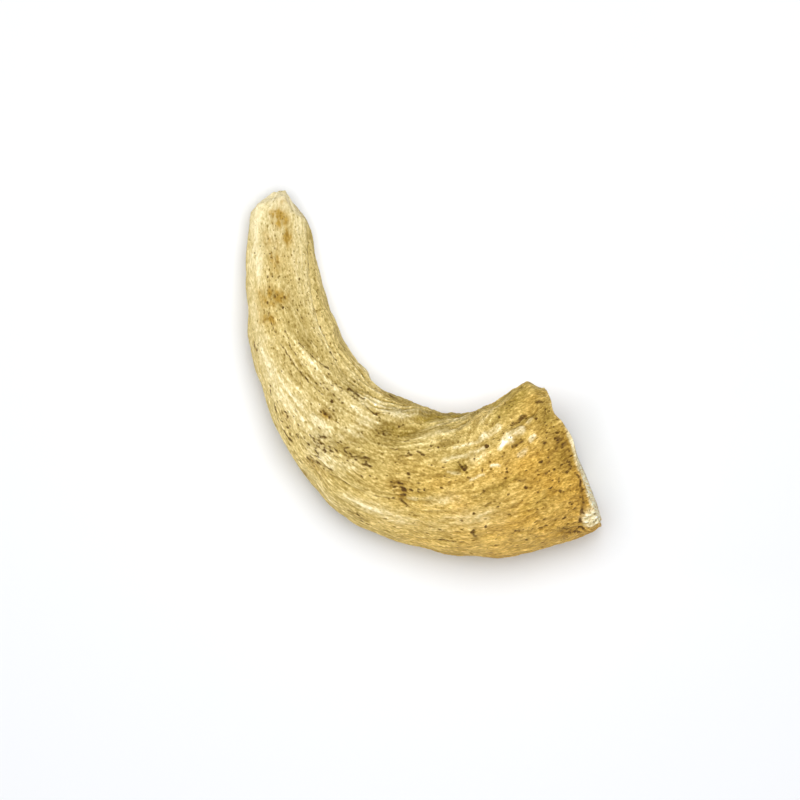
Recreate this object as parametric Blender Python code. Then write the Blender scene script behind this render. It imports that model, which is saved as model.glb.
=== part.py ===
"""Buffalo horn core: one cone of bone, bent like a crook, broken at the tip and cut at the base.

It lies on its side. Seen from above, X runs to the right and Y up, and Z rises from the surface it
lies on. Lengths are in millimetres until the mesh is written in metres. The origin is on that
surface, under the middle of the core's box.
"""
import bmesh
import bpy
import numpy as np

MM = 0.001

# The middle line, from the broken tip to the cut base, turns in the plane of the surface.
CORE_LENGTH = 252.0
TIP_POINT = (-72.5, 92.0)
HEADINGS_DEG = (-90.0, -87.2, -77.5, -65.8, -48.8, -25.7, -6.8, 18.1, 21.8)

# The sections, at the same even steps as the headings
HALF_WIDTHS = (13.6, 17.2, 20.7, 24.4, 28.9, 33.0, 35.0, 38.2, 41.0)
HALF_DEPTHS = (10.8, 14.4, 18.0, 22.0, 26.4, 30.8, 33.6, 35.4, 36.0)
LEANS = (0.0, 0.03, 0.09, 0.20, 0.31, 0.35, 0.33, 0.30, 0.28)
LIFTS = (3.4, 0.0, 1.3, 2.0, 1.2, 0.0, 1.4, 1.6, 0.0)
GRAIN_TURNS_DEG = (0.0, 0.0, -6.0, -22.0, -40.0, -57.0, -72.0, -84.0, -91.0)

# How far the broken tip starts along the core, from its outer side to its inner side
TIP_HALF_WIDTH = 15.6
TIP_SIDES = (-15.6, -13.4, -12.4, -9.4, -6.6, -3.7, -0.8, 3.4, 6.0, 8.3, 11.5, 14.1, 15.6)
TIP_STARTS = (15.0, 11.0, 8.3, 5.2, 4.0, 1.9, 0.6, 0.1, 4.6, 8.2, 11.9, 15.1, 24.0)
TIP_DOME = 9.0

# The cut base: a wall of firm bone round spongy bone that has worn back a little
BASE_LEAN_BACK_DEG = 4.5
BASE_WALL = 0.85
SPONGE_DEPTH = 2.4
CORNER_CHIP = 5.6
CORNER_CHIP_LENGTH = 8.0
OUTER_CORNER_WEAR = 2.0
KNOB_HEIGHT = 0.4
CORNER_CHIP_BACK = 2.2

# Mesh: points round the core, and rows from the tip to the base
AROUND = 80
TIP_RINGS = (0.0, 0.34, 0.66, 0.88)
BODY_ROWS = 52
BASE_RINGS = (BASE_WALL, BASE_WALL - 0.05, 0.62, 0.42, 0.2, 0.0)
SHARP_ANGLE_DEG = 48.0
WELD_DISTANCE = 0.000005

# Ridges and furrows as (along, turn in degrees from the top towards the inner curve, height)
LINES = (
    # Crest from the bend to the inner corner of the base, and the hollow below it
    (8.0, ((146, 34, 0.3), (166, 30, 2.0), (190, 43, 2.8), (214, 58, 2.4), (236, 66, 1.6), (250, 70, 0.8))),
    (7.5, ((136, 17, -1.0), (146, 25, -3.8), (157, 36, -3.8), (166, 50, -2.2), (178, 66, -0.8))),
    # Flow of bone from the tip arm to the inner edge
    (4.6, ((112, 24, 0.4), (130, 33, 1.5), (146, 46, 2.0), (158, 62, 1.6))),
    # Smooth shoulder on the outer side of the tip arm
    (15.0, ((58, -44, 0.4), (86, -42, 1.4), (112, -40, 1.3), (130, -36, 0.3))),
    # Raised lip and groove beside the inner edge of the tip arm
    (2.2, ((15, 70, -0.5), (42, 51, -0.8), (68, 43, -0.9), (96, 45, -0.8), (120, 38, -0.6))),
    (2.6, ((24, 92, 0.2), (48, 68, 0.6), (78, 60, 0.6), (104, 62, 0.4))),
    # Furrows that cross the arm and run on below the crest
    (2.8, ((56, -34, -0.2), (74, -16, -0.8), (92, 0, -1.0), (110, 16, -0.8), (126, 24, -0.3))),
    (2.8, ((124, -48, -0.6), (143, -38, -1.4), (160, -31, -1.4), (180, -29, -0.6))),
    # Raised streaks on the base half
    (2.8, ((176, 20, 0.4), (196, 27, 1.2), (214, 30, 1.2), (240, 36, 0.8))),
    (2.6, ((180, 28, -0.4), (200, 34, -1.2), (216, 40, -1.3), (238, 46, -0.8))),
    (2.6, ((188, 52, -0.3), (206, 62, -0.9), (230, 70, -0.9))),
    # Wrinkles at the outer corner of the base
    (2.4, ((226, -44, -0.3), (240, -50, -1.1), (252, -54, -1.3))),
    (2.4, ((228, -58, -0.3), (240, -63, -1.2), (252, -66, -1.6))),
    # Long channels of the blood vessels on the underside
    (4.2, ((40, 168, -0.3), (80, 156, -1.5), (130, 138, -2.2), (180, 122, -2.4), (252, 108, -1.8))),
    (4.6, ((70, -166, -0.3), (120, 172, -1.8), (170, 156, -2.4), (220, 144, -2.6), (252, 140, -2.0))),
    (4.2, ((96, -120, -0.4), (140, -142, -1.4), (190, -162, -2.0), (236, -176, -2.2), (252, -178, -1.8))),
    (3.6, ((150, -98, -0.4), (190, -112, -1.3), (230, -124, -1.7), (252, -128, -1.4))),
)

# Pits and bumps as (along, turn in degrees, radius along, radius round, height)
SPOTS = (
    (166, -14, 5.0, 4.0, -1.5),
    (170, -24, 3.5, 4.5, -1.2),
    (240, 44, 4.0, 3.0, -1.6),
    (229, 32, 6.0, 3.0, 1.1),
    (226, 23, 4.5, 2.6, -1.2),
    (133, -26, 5.0, 3.5, -1.0),
    (243, 84, 7.0, 12.0, 2.0),
    (147, -88, 9.0, 16.0, 2.3),
    (207, -88, 10.0, 14.0, 1.3),
    (184, -92, 14.0, 14.0, -0.8),
    (140, 90, 14.0, 12.0, 0.9),
    (182, 92, 12.0, 12.0, 0.4),
    (96, -90, 26.0, 12.0, -0.7),
    (76, 90, 16.0, 10.0, -0.7),
    (196, 16, 3.5, 3.0, -1.2),
    (206, -44, 4.0, 3.0, -1.1),
    (118, -64, 8.0, 6.0, 0.9),
    (34, -36, 9.0, 6.0, 0.5),
    (212, -150, 7.0, 6.0, -1.8),
    (120, -158, 6.0, 5.0, -1.4),
    (232, 168, 6.0, 6.0, 1.5),
)

# Slow swells, as (height, waves along the core, waves round it, start)
SWELLS = (
    (0.55, 2.3, 2, 0.4),
    (0.50, 4.1, 3, 2.1),
    (0.38, 7.3, 2, 4.4),
    (0.32, 10.7, 4, 1.3),
    (0.24, 15.1, 3, 5.2),
    (0.20, 5.9, 7, 3.3),
)


def smooth_step(x):
    x = np.clip(x, 0.0, 1.0)
    return x * x * (3.0 - 2.0 * x)


def run(values, along):
    """A smooth run through values set at even steps along the core."""
    values = np.asarray(values, float)
    knots = np.linspace(0.0, CORE_LENGTH, len(values))
    slopes = np.gradient(values, knots)
    i = np.clip(np.searchsorted(knots, along, side="right") - 1, 0, len(knots) - 2)
    step = knots[i + 1] - knots[i]
    t = np.clip((along - knots[i]) / step, 0.0, 1.0)
    start = (1 + 2 * t) * (1 - t) ** 2 * values[i] + t * (1 - t) ** 2 * step * slopes[i]
    end = t * t * (3 - 2 * t) * values[i + 1] - t * t * (1 - t) * step * slopes[i + 1]
    return start + end


def middle_line(along):
    """Place and heading of the middle line."""
    fine = np.linspace(0.0, CORE_LENGTH, 1009)
    heading = np.radians(run(HEADINGS_DEG, fine))
    step = fine[1]
    place = []
    for start, part in zip(TIP_POINT, (np.cos(heading), np.sin(heading))):
        gone = start + np.concatenate(([0.0], np.cumsum((part[1:] + part[:-1]) * step / 2)))
        place.append(np.interp(along, fine, gone))
    return place[0], place[1], np.interp(along, fine, heading)


def line_height(line, along, turn_mm, radius):
    """Height left by one ridge or furrow, measured on the unrolled surface."""
    width, points = line
    best = np.full(along.shape, 1e9)
    height = np.zeros(along.shape)
    full_turn = 2 * np.pi * radius
    for (s0, t0, h0), (s1, t1, h1) in zip(points[:-1], points[1:]):
        turn_step = (t1 - t0 + 180.0) % 360.0 - 180.0
        dx, dy = s1 - s0, np.radians(turn_step) * radius
        px = along - s0
        py = turn_mm - np.radians(t0) * radius
        py = py - full_turn * np.round(py / full_turn)
        share = np.clip((px * dx + py * dy) / (dx * dx + dy * dy), 0.0, 1.0)
        gap = np.hypot(px - share * dx, py - share * dy)
        nearer = gap < best
        height = np.where(nearer, h0 + (h1 - h0) * share, height)
        best = np.minimum(best, gap)
    return height * np.exp(-((best / width) ** 2))


def relief(along, turn):
    """Height of the surface over its plain section."""
    radius = run(HALF_WIDTHS, along)
    turn_mm = turn * radius
    height = np.zeros(along.shape)
    for line in LINES:
        height = height + line_height(line, along, turn_mm, radius)
    for s0, t0, long_radius, round_radius, size in SPOTS:
        aside = ((turn - np.radians(t0) + np.pi) % (2 * np.pi) - np.pi) * radius
        height = height + size * np.exp(-((along - s0) / long_radius) ** 2 - (aside / round_radius) ** 2)
    grain_turn = turn - np.radians(run(GRAIN_TURNS_DEG, along))
    ease = smooth_step(along / 60.0) * 0.7 + 0.3
    for size, waves_along, waves_round, start in SWELLS:
        wave = np.sin(2 * np.pi * waves_along * along / CORE_LENGTH + start)
        height = height + ease * size * wave * np.sin(waves_round * grain_turn + start * 1.7)
    return height


def tip_start(turn, ring):
    """Where the bone starts along the core, on a ring of the broken tip."""
    side = np.interp(ring * TIP_HALF_WIDTH * np.sin(turn), TIP_SIDES, TIP_STARTS)
    dome = TIP_DOME * (1.0 - np.sqrt(1.0 - (0.94 * ring * np.cos(turn)) ** 2))
    across, up = TIP_HALF_WIDTH * ring * np.sin(turn), TIP_HALF_WIDTH * ring * np.cos(turn)
    roughness = 0.5 * np.sin(0.52 * across + 0.3 * up) + 0.45 * np.sin(0.64 * up - 0.22 * across + 1.9)
    return side + dome + roughness


def core_points(along, turn, ring, recess):
    """Points of the surface, or of a ring drawn in towards the middle line."""
    half_width = run(HALF_WIDTHS, along)
    half_depth = run(HALF_DEPTHS, along)
    lean = run(LEANS, along)
    height = relief(along, turn)
    window = np.exp(-((turn - np.radians(92.0)) / np.radians(34.0)) ** 2)
    to_end = (along - CORE_LENGTH + CORNER_CHIP_LENGTH) / CORNER_CHIP_LENGTH
    height = height - CORNER_CHIP * window * smooth_step(to_end)
    worn = np.exp(-((turn - np.radians(-88.0)) / np.radians(26.0)) ** 2)
    height = height - OUTER_CORNER_WEAR * worn * smooth_step(to_end) ** 2
    sideways = ring * (half_width * np.sin(turn) + height * np.sin(turn))
    upward = ring * (half_depth * np.cos(turn) + height * np.cos(turn)) + lean * sideways
    middle_height = np.sqrt(half_depth ** 2 + (lean * half_width) ** 2) + run(LIFTS, along)
    x, y, heading = middle_line(along)
    lean_back = np.tan(np.radians(BASE_LEAN_BACK_DEG)) * smooth_step((along - CORE_LENGTH + 34.0) / 34.0)
    near_end = smooth_step((along - CORE_LENGTH + 12.0) / 12.0)
    knob = np.exp(-((turn - np.radians(-76.0)) / np.radians(16.0)) ** 2) * np.exp(-((ring - 1.0) / 0.12) ** 2)
    broken = np.exp(-((turn - np.radians(100.0)) / np.radians(22.0)) ** 2) * ring ** 6
    forward = (KNOB_HEIGHT * knob - CORNER_CHIP_BACK * broken) * near_end - lean_back * upward - recess
    z = np.maximum(middle_height + upward, 0.0)
    x = x - np.sin(heading) * sideways + np.cos(heading) * forward
    y = y + np.cos(heading) * sideways + np.sin(heading) * forward
    return np.stack([x, y, z], axis=1) * MM


def row_table():
    """Each row's share of the way along the body, its ring size and its recess."""
    even = np.linspace(0.0, 1.0, BODY_ROWS)
    share = np.interp(even, (0.0, 0.16, 0.86, 0.95, 1.0), (0.0, 0.13, 0.885, 0.972, 1.0))
    rows = [(0.0, ring, 0.0) for ring in TIP_RINGS]
    rows += [(s, 1.0, 0.0) for s in share]
    rows += [(1.0, ring, 0.0 if ring >= BASE_WALL else 1.0) for ring in BASE_RINGS]
    return np.array(rows)


def make_core():
    rows = row_table()
    bm = bmesh.new()
    bmesh.ops.create_grid(bm, x_segments=len(rows) - 1, y_segments=AROUND, size=1.0)
    flat = np.array([v.co[:2] for v in bm.verts])
    row = np.rint((flat[:, 0] + 1.0) / 2.0 * (len(rows) - 1)).astype(int)
    turn = np.pi * flat[:, 1] + np.pi
    turn = np.where(turn >= 2 * np.pi - 1e-6, 0.0, turn)
    turn = (turn + 2 * np.pi) % (2 * np.pi) - np.pi
    share, ring, sunk = rows[row].T
    wall_change = 1.0 + 0.03 * np.sin(3 * turn + 1.0) + 0.022 * np.sin(5 * turn + 2.6)
    ring = np.where((share == 1.0) & (ring < 1.0) & (ring > 0.5), ring * wall_change, ring)
    first = tip_start(turn, np.where(share > 0.0, 1.0, ring))
    along = first + (CORE_LENGTH - first) * share
    across, up = 38.0 * ring * np.sin(turn), 38.0 * ring * np.cos(turn)
    sponge = SPONGE_DEPTH + 0.9 * np.sin(0.16 * across + 0.3) * np.sin(0.14 * up + 1.1)
    sponge = sponge + 0.3 * np.sin(0.33 * across - 0.2 * up) * np.sin(0.29 * up + 0.25 * across + 0.7)
    points = core_points(along, turn, ring, sunk * sponge)
    for vert, point in zip(bm.verts, points):
        vert.co = point
    bmesh.ops.remove_doubles(bm, verts=bm.verts, dist=WELD_DISTANCE)
    bmesh.ops.recalc_face_normals(bm, faces=bm.faces)
    mesh = bpy.data.meshes.new("horn_core")
    bm.to_mesh(mesh)
    bm.free()
    mesh.shade_smooth()
    mesh.set_sharp_from_angle(angle=np.radians(SHARP_ANGLE_DEG))
    return bpy.data.objects.new("horn_core", mesh)


def bone_material():
    material = bpy.data.materials.new("bone")
    material.use_nodes = True
    surface = material.node_tree.nodes["Principled BSDF"]
    surface.inputs["Base Color"].default_value = (0.66, 0.50, 0.22, 1.0)
    surface.inputs["Roughness"].default_value = 0.82
    surface.inputs["Metallic"].default_value = 0.0
    return material


for old in list(bpy.data.objects):
    bpy.data.objects.remove(old, do_unlink=True)
collection = bpy.data.collections.new("buffalo_horn_core")
bpy.context.scene.collection.children.link(collection)
core = make_core()
core.data.materials.append(bone_material())
collection.objects.link(core)
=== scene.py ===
import itertools
import math

import bmesh
import bpy
import numpy as np
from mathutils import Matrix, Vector


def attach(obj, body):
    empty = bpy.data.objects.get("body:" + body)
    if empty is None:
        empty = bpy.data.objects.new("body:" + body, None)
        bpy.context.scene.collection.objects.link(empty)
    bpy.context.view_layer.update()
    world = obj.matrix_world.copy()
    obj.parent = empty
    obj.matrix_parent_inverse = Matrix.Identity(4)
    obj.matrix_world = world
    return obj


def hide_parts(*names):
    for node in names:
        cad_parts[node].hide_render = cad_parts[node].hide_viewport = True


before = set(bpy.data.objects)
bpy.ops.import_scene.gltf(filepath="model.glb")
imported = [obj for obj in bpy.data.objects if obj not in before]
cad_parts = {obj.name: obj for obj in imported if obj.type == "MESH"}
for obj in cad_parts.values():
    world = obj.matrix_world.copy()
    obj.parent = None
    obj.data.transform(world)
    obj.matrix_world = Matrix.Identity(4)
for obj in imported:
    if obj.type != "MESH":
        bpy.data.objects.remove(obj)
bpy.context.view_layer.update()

MM = 0.001

# ---------------------------------------------------------------- the form, as in the part's source
CORE_LENGTH = 252.0
TIP_POINT = (-72.5, 92.0)
HEADINGS_DEG = (-90.0, -87.2, -77.5, -65.8, -48.8, -25.7, -6.8, 18.1, 21.8)
HALF_WIDTHS = (13.6, 17.2, 20.7, 24.4, 28.9, 33.0, 35.0, 38.2, 41.0)
HALF_DEPTHS = (10.8, 14.4, 18.0, 22.0, 26.4, 30.8, 33.6, 35.4, 36.0)
LEANS = (0.0, 0.03, 0.09, 0.20, 0.31, 0.35, 0.33, 0.30, 0.28)
LIFTS = (3.4, 0.0, 1.3, 2.0, 1.2, 0.0, 1.4, 1.6, 0.0)
SWELL_TURNS_DEG = (0.0, 0.0, -6.0, -22.0, -40.0, -57.0, -72.0, -84.0, -91.0)
TIP_HALF_WIDTH = 15.6
TIP_SIDES = (-15.6, -13.4, -12.4, -9.4, -6.6, -3.7, -0.8, 3.4, 6.0, 8.3, 11.5, 14.1, 15.6)
TIP_STARTS = (11.8, 8.9, 7.0, 4.6, 3.6, 1.8, 0.6, 0.1, 4.6, 8.2, 12.0, 15.0, 20.5)
TIP_DOME = 9.0
BASE_LEAN_BACK_DEG = 4.5
BASE_WALL = 0.85
SPONGE_DEPTH = 2.4
CORNER_CHIP = 5.6
CORNER_CHIP_LENGTH = 8.0
OUTER_CORNER_WEAR = 2.0
KNOB_HEIGHT = 0.4
CORNER_CHIP_BACK = 2.2
INNER_EDGE_UPRIGHT = 0.75
TOP_LEAN_SHARE = 0.1
INNER_EDGE_FORWARD = 0.5
OUTER_CORNER_BACK = 2.0
# The cut edge bulges and dips a little, as (place across, reach, how far forward)
EDGE_WAVES = ((0.17, 0.18, 1.6), (0.60, 0.13, -2.2))

# Ridges and furrows as (width, ((along, turn in degrees, height), ...))
LINES = (
    (8, ((136, 17, 0.3), (166, 30, 2), (190, 43, 2.8), (214, 58, 2.4), (236, 66, 1.6), (250, 70, 0.8))),
    (7.5, ((136, 17, -1), (146, 25, -3.8), (157, 36, -3.8), (166, 50, -2.2), (178, 66, -0.8))),
    (4.6, ((112, 24, 0.4), (130, 33, 1.5), (146, 46, 2), (158, 62, 1.6))),
    (15, ((58, -44, 0.4), (86, -42, 1.4), (112, -40, 1.3), (130, -36, 0.3))),
    (2.2, ((15, 70, -0.5), (42, 51, -0.8), (68, 43, -0.9), (96, 45, -0.8), (120, 38, -0.6))),
    (2.6, ((24, 92, 0.2), (48, 68, 0.6), (78, 60, 0.6), (104, 62, 0.4))),
    (2.8, ((56, -34, -0.2), (74, -16, -0.8), (92, 0, -1), (110, 16, -0.8), (126, 24, -0.3))),
    (2.8, ((124, -48, -0.6), (143, -38, -1.4), (160, -31, -1.4), (180, -29, -0.6))),
    (2.8, ((176, 20, 0.4), (196, 27, 1.2), (214, 30, 1.2), (240, 36, 0.8))),
    (2.6, ((180, 28, -0.4), (200, 34, -1.2), (216, 40, -1.3), (238, 46, -0.8))),
    (2.6, ((188, 52, -0.3), (206, 62, -0.9), (230, 70, -0.9))),
    (2.4, ((226, -44, -0.3), (240, -50, -1.1), (252, -54, -1.3))),
    (2.4, ((228, -58, -0.3), (240, -63, -1.2), (252, -66, -1.6))),
    (4.2, ((40, 168, -0.3), (80, 156, -1.5), (130, 138, -2.2), (180, 122, -2.4), (252, 108, -1.8))),
    (4.6, ((70, -166, -0.3), (120, 172, -1.8), (170, 156, -2.4), (220, 144, -2.6), (252, 140, -2))),
    (4.2, ((96, -120, -0.4), (140, -142, -1.4), (190, -162, -2), (236, -176, -2.2), (252, -178, -1.8))),
    (3.6, ((150, -98, -0.4), (190, -112, -1.3), (230, -124, -1.7), (252, -128, -1.4))),
)
# Pits and bumps as (along, turn in degrees, radius along, radius round, height)
SPOTS = (
    (166, -14, 5, 4, -1.5), (170, -24, 3.5, 4.5, -1.2), (240, 44, 4, 3, -1.6), (229, 32, 6, 3, 1.1),
    (226, 23, 4.5, 2.6, -1.2), (133, -26, 5, 3.5, -1), (243, 84, 7, 12, 2), (147, -88, 9, 16, 2.3),
    (207, -88, 10, 14, 1.3), (184, -92, 14, 14, -0.8), (140, 90, 14, 12, 0.9), (182, 92, 12, 12, 0.4),
    (96, -90, 26, 12, -0.7), (76, 90, 16, 10, -0.7), (196, 16, 3.5, 3, -1.2), (206, -44, 4, 3, -1.1),
    (118, -64, 8, 6, 0.9), (34, -36, 9, 6, 0.5), (212, -150, 7, 6, -1.8), (120, -158, 6, 5, -1.4),
    (232, 168, 6, 6, 1.5),
)
# Slow swells, as (height, waves along the core, waves round it, start)
SWELLS = (
    (0.55, 2.3, 2, 0.4), (0.5, 4.1, 3, 2.1), (0.38, 7.3, 2, 4.4), (0.32, 10.7, 4, 1.3), (0.24, 15.1, 3, 5.2),
    (0.2, 5.9, 7, 3.3),
)

# ---------------------------------------------------------------- surface detail, for the looks alone
# Which way the fibres run: degrees of turn gained per mm, by place along and by turn on the top side.
# The underside mirrors the top, so the fibres close on the inner curve from both sides.
FLOW_ALONGS = (0, 30, 75, 105, 140, 180, 215, 252)
FLOW_TURNS_DEG = (-90, -60, -30, 0, 30, 60, 90)
FLOW = (
    (0.0, 0.10, 0.05, 0.00, -0.05, -0.10, 0.0),
    (0.0, 0.15, 0.15, 0.15, -0.10, -0.20, 0.0),
    (0.0, 0.15, 0.90, 0.98, 0.30, -0.15, 0.0),
    (0.0, 0.05, 0.50, 0.70, 0.55, 0.15, 0.0),
    (0.0, 0.05, 0.42, 0.48, 0.64, 0.85, 0.0),
    (0.0, 0.20, 0.50, 0.50, 0.67, 0.95, 0.0),
    (0.0, 0.10, 0.26, 0.34, 0.55, 0.80, 0.0),
    (0.0, -0.35, 0.05, 0.20, 0.42, 0.70, 0.0),
)

# Cracks and slits on the top side, as (half width, depth, dirt, ((along, across), ...)); under the pale chip near
# the base the dirt column paints shadow
CRACKS = (
    (0.45, 1.4, 1, ((111.6, 14), (111.3, 15.2), (114.8, 16.3), (118.7, 16.8), (121.8, 17.7))),
    (0.32, 0.7, 0.8, ((124.7, 15.8), (128.2, 16.3), (132.5, 16.5), (137.8, 17.2))),
    (0.32, 0.6, 0.8, ((133.4, 17.2), (136.9, 19.7), (140.7, 20.7))),
    (0.4, 0.6, 0.95, ((88, 15.4), (91, 16), (93.6, 17))),
    (0.35, 0.5, 0.9, ((121.1, -10.3), (122.8, -9.6), (124.5, -8.5))),
    (0.35, 0.5, 0.9, ((124.1, -14.2), (124.7, -12.4), (126, -11.3))),
    (0.38, 0.6, 1, ((125.5, -13.5), (125, -15), (125.7, -16.4), (127.6, -16.9))),
    (0.38, 0.5, 0.9, ((128.2, -10.4), (130, -9.2), (132.3, -9))),
    (0.3, 0.4, 0.8, ((127.5, -8.3), (128.6, -7.3), (130.4, -7.5))),
    (0.4, 0.6, 1, ((133.9, -6.3), (135.4, -6.8), (137.3, -6.1), (138.8, -5.2))),
    (0.35, 0.5, 0.9, ((133.7, -5.9), (134.6, -4.3))),
    (0.38, 0.5, 0.9, ((138.9, -6.6), (140.5, -5.5), (141.9, -3.7))),
    (0.48, 0.9, 0.9, ((143.8, -3), (145.3, -2.5), (147.2, -2.4))),
    (0.35, 0.5, 0.85, ((146.3, -5.4), (148.1, -4.5), (149.7, -4.4))),
    (0.35, 0.4, 0.45, ((124, -2), (127.1, -3.4), (131.4, -2.8), (134.8, -0.5), (136.5, 3), (137.1, 6.6))),
    (0.28, 0.3, 0.35, ((133.4, 4.6), (134.2, 2.4), (132.6, 0.4))),
    (0.5, 0.7, 0.85, ((126.9, -22.1), (129, -21.4), (131.7, -20.4), (136, -18.6))),
    (0.35, 0.4, 0.6, ((128.2, -24), (132.4, -24.2), (135.4, -24.7))),
    (0.5, 0.6, 0.5, ((131.9, -20.6), (137.9, -20.6), (142.4, -19.6), (149.1, -18.4), (154.4, -17.4), (160, -16.1),
        (167.6, -14.8))), (0.5, 0.6, 1, ((167.6, -14.5), (169.7, -15.7), (172, -16.8))),
    (0.35, 0.3, 0.4, ((128, -18), (138, -16.4), (150, -14.6))),
    (0.4, 0.6, 0.8, ((99.8, -21.3), (102.6, -21.6), (107.4, -22.7), (111.4, -22.7), (117.7, -22.4))),
    (0.6, 0.5, 0.8, ((161.6, -8.6), (162.4, -7.2))), (0.8, 0.7, 0.85, ((163.8, -5.9), (165.9, -6.6))),
    (0.32, 0.5, 0.8, ((158.4, 5.5), (160.2, 7.3), (162.9, 8), (164.7, 9.4))),
    (0.38, 0.5, 0.9, ((162.7, 9.3), (165, 9.1))), (0.38, 0.5, 0.9, ((167.6, 11.8), (169, 11.6), (171.1, 11))),
    (0.35, 0.5, 0.8, ((158.8, 15.1), (160.2, 15.8))),
    (0.35, 0.4, 0.5, ((138.9, 12.3), (139.6, 14.4), (143.4, 17.7), (148.9, 20.7), (158.6, 25.1))),
    (0.35, 0.5, 0.6, ((124.5, 22.3), (129.2, 26.1), (133.5, 29), (138.9, 29.9), (147.2, 30))),
    (0.5, 0.8, 1, ((191.4, 10.8), (193.4, 9), (194.8, 7.7))),
    (0.45, 0.7, 1, ((195.8, 10.2), (196.5, 9.1), (195.2, 8.2))), (0.4, 0.5, 0.85, ((213, 28.3), (217.2, 28.4))),
    # The second groove on the next line, under the pale chip near the base, is darkened as painted shadow below the
    # chip's edge
    (0.45, 0.4, 0.6, ((203.9, 30.9), (210.2, 31.6))), (0.8, 1, 0.95, ((225, 15.2), (228, 16.1), (230.6, 16.6))),
    (0.6, 0.7, 0.7, ((225, 21.8), (228.6, 23.1), (233.1, 23.7))),
    (0.9, 1.1, 0.75, ((229, 26.4), (233, 27.2), (236.4, 28.8))),
    (0.4, 0.4, 0.55, ((224, 36), (230.9, 36.2), (234.1, 36.6), (236.1, 37.3))),
    (0.38, 0.5, 0.95, ((196.6, 3.3), (198.2, 3.8))), (0.38, 0.5, 0.95, ((184, -2.3), (185.5, -2.6))),
    (0.6, 0.3, 0.45, ((179.4, 7.9), (183.6, 8.3))), (0.45, 0.5, 0.6, ((178.2, 17.5), (179.3, 18.9), (182.4, 20))),
    (0.45, 0.8, 1, ((199.6, -22.2), (199.2, -24.1), (200, -25.1), (200.6, -26.8))),
    (0.7, 0.3, 0.5, ((221.8, -2.4), (227.5, -5.2), (234.3, -6.8))),
    (0.4, 0.5, 0.7, ((172.5, -33), (176.2, -31.3), (179.5, -30.5), (185.8, -29.6), (192.8, -28.8))),
    (0.42, 0.9, 1, ((232, -30.6), (235.3, -34.2), (238.3, -35), (241.7, -35), (243.9, -38), (245.6, -39.6))),
    (0.4, 0.8, 0.9, ((229.4, -31), (234.2, -35.1), (236.9, -36.9))),
    (0.42, 0.8, 1, ((236.5, -36.1), (239.7, -36.8), (242.4, -38.4))),
    (0.4, 0.6, 0.8, ((235.6, -31.6), (239.6, -32.6), (243, -33.6))),
    (0.35, 0.4, 0.6, ((242.8, -20), (247.5, -20.2))), (0.35, 0.4, 0.6, ((239.6, -22.9), (243.6, -26.5))),
    (0.55, 0.5, 0.95, ((249.9, -16.8), (249.3, -20.6), (248, -25), (244.9, -29), (243, -33.3))),
    (0.55, 0.3, 0.65, ((249.6, -8.6), (251, -11.4), (250.2, -15.6))),
    (0.32, 0.3, 0.6, ((60, -9.6), (68, -8.6), (76.7, -7), (81.5, -5.9))),
    (0.38, 0.4, 0.7, ((81.5, -5.9), (87.4, -4.1), (92.9, -2.2), (99.3, -0.3), (107, 3))),
    (0.38, 0.4, 0.65, ((78, 1.6), (83.9, 4.7), (90.8, 7.7), (96.8, 10.8))),
    (0.38, 0.3, 0.5, ((70, -3.4), (80, -2.6), (92, 0.6), (102, 4.4), (108, 7.6))),
    (0.4, 0.3, 0.48, ((88, -8.6), (97, -5.4), (106, -2.4))),
    (0.4, 0.3, 0.45, ((92, 12.6), (100, 13.2), (108, 14.2))),
    (0.4, 0.3, 0.45, ((96, 19.6), (106, 20), (118, 21.6), (126, 24.6))),
    (0.55, 0.5, 0.5, ((28.8, 14.4), (36.9, 14.3), (47.3, 14.3), (57.8, 14.1), (64.9, 14), (75.4, 15.4),
        (83.7, 15.6))), (0.3, 0.3, 0.55, ((33.7, -5.3), (33.1, -3.4), (37.1, -1.4), (39, -0.9))),
    (0.35, 0.3, 0.45, ((21.3, 3.7), (23.2, 4), (25.1, 2.8), (27.4, 3.9))),
)
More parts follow.
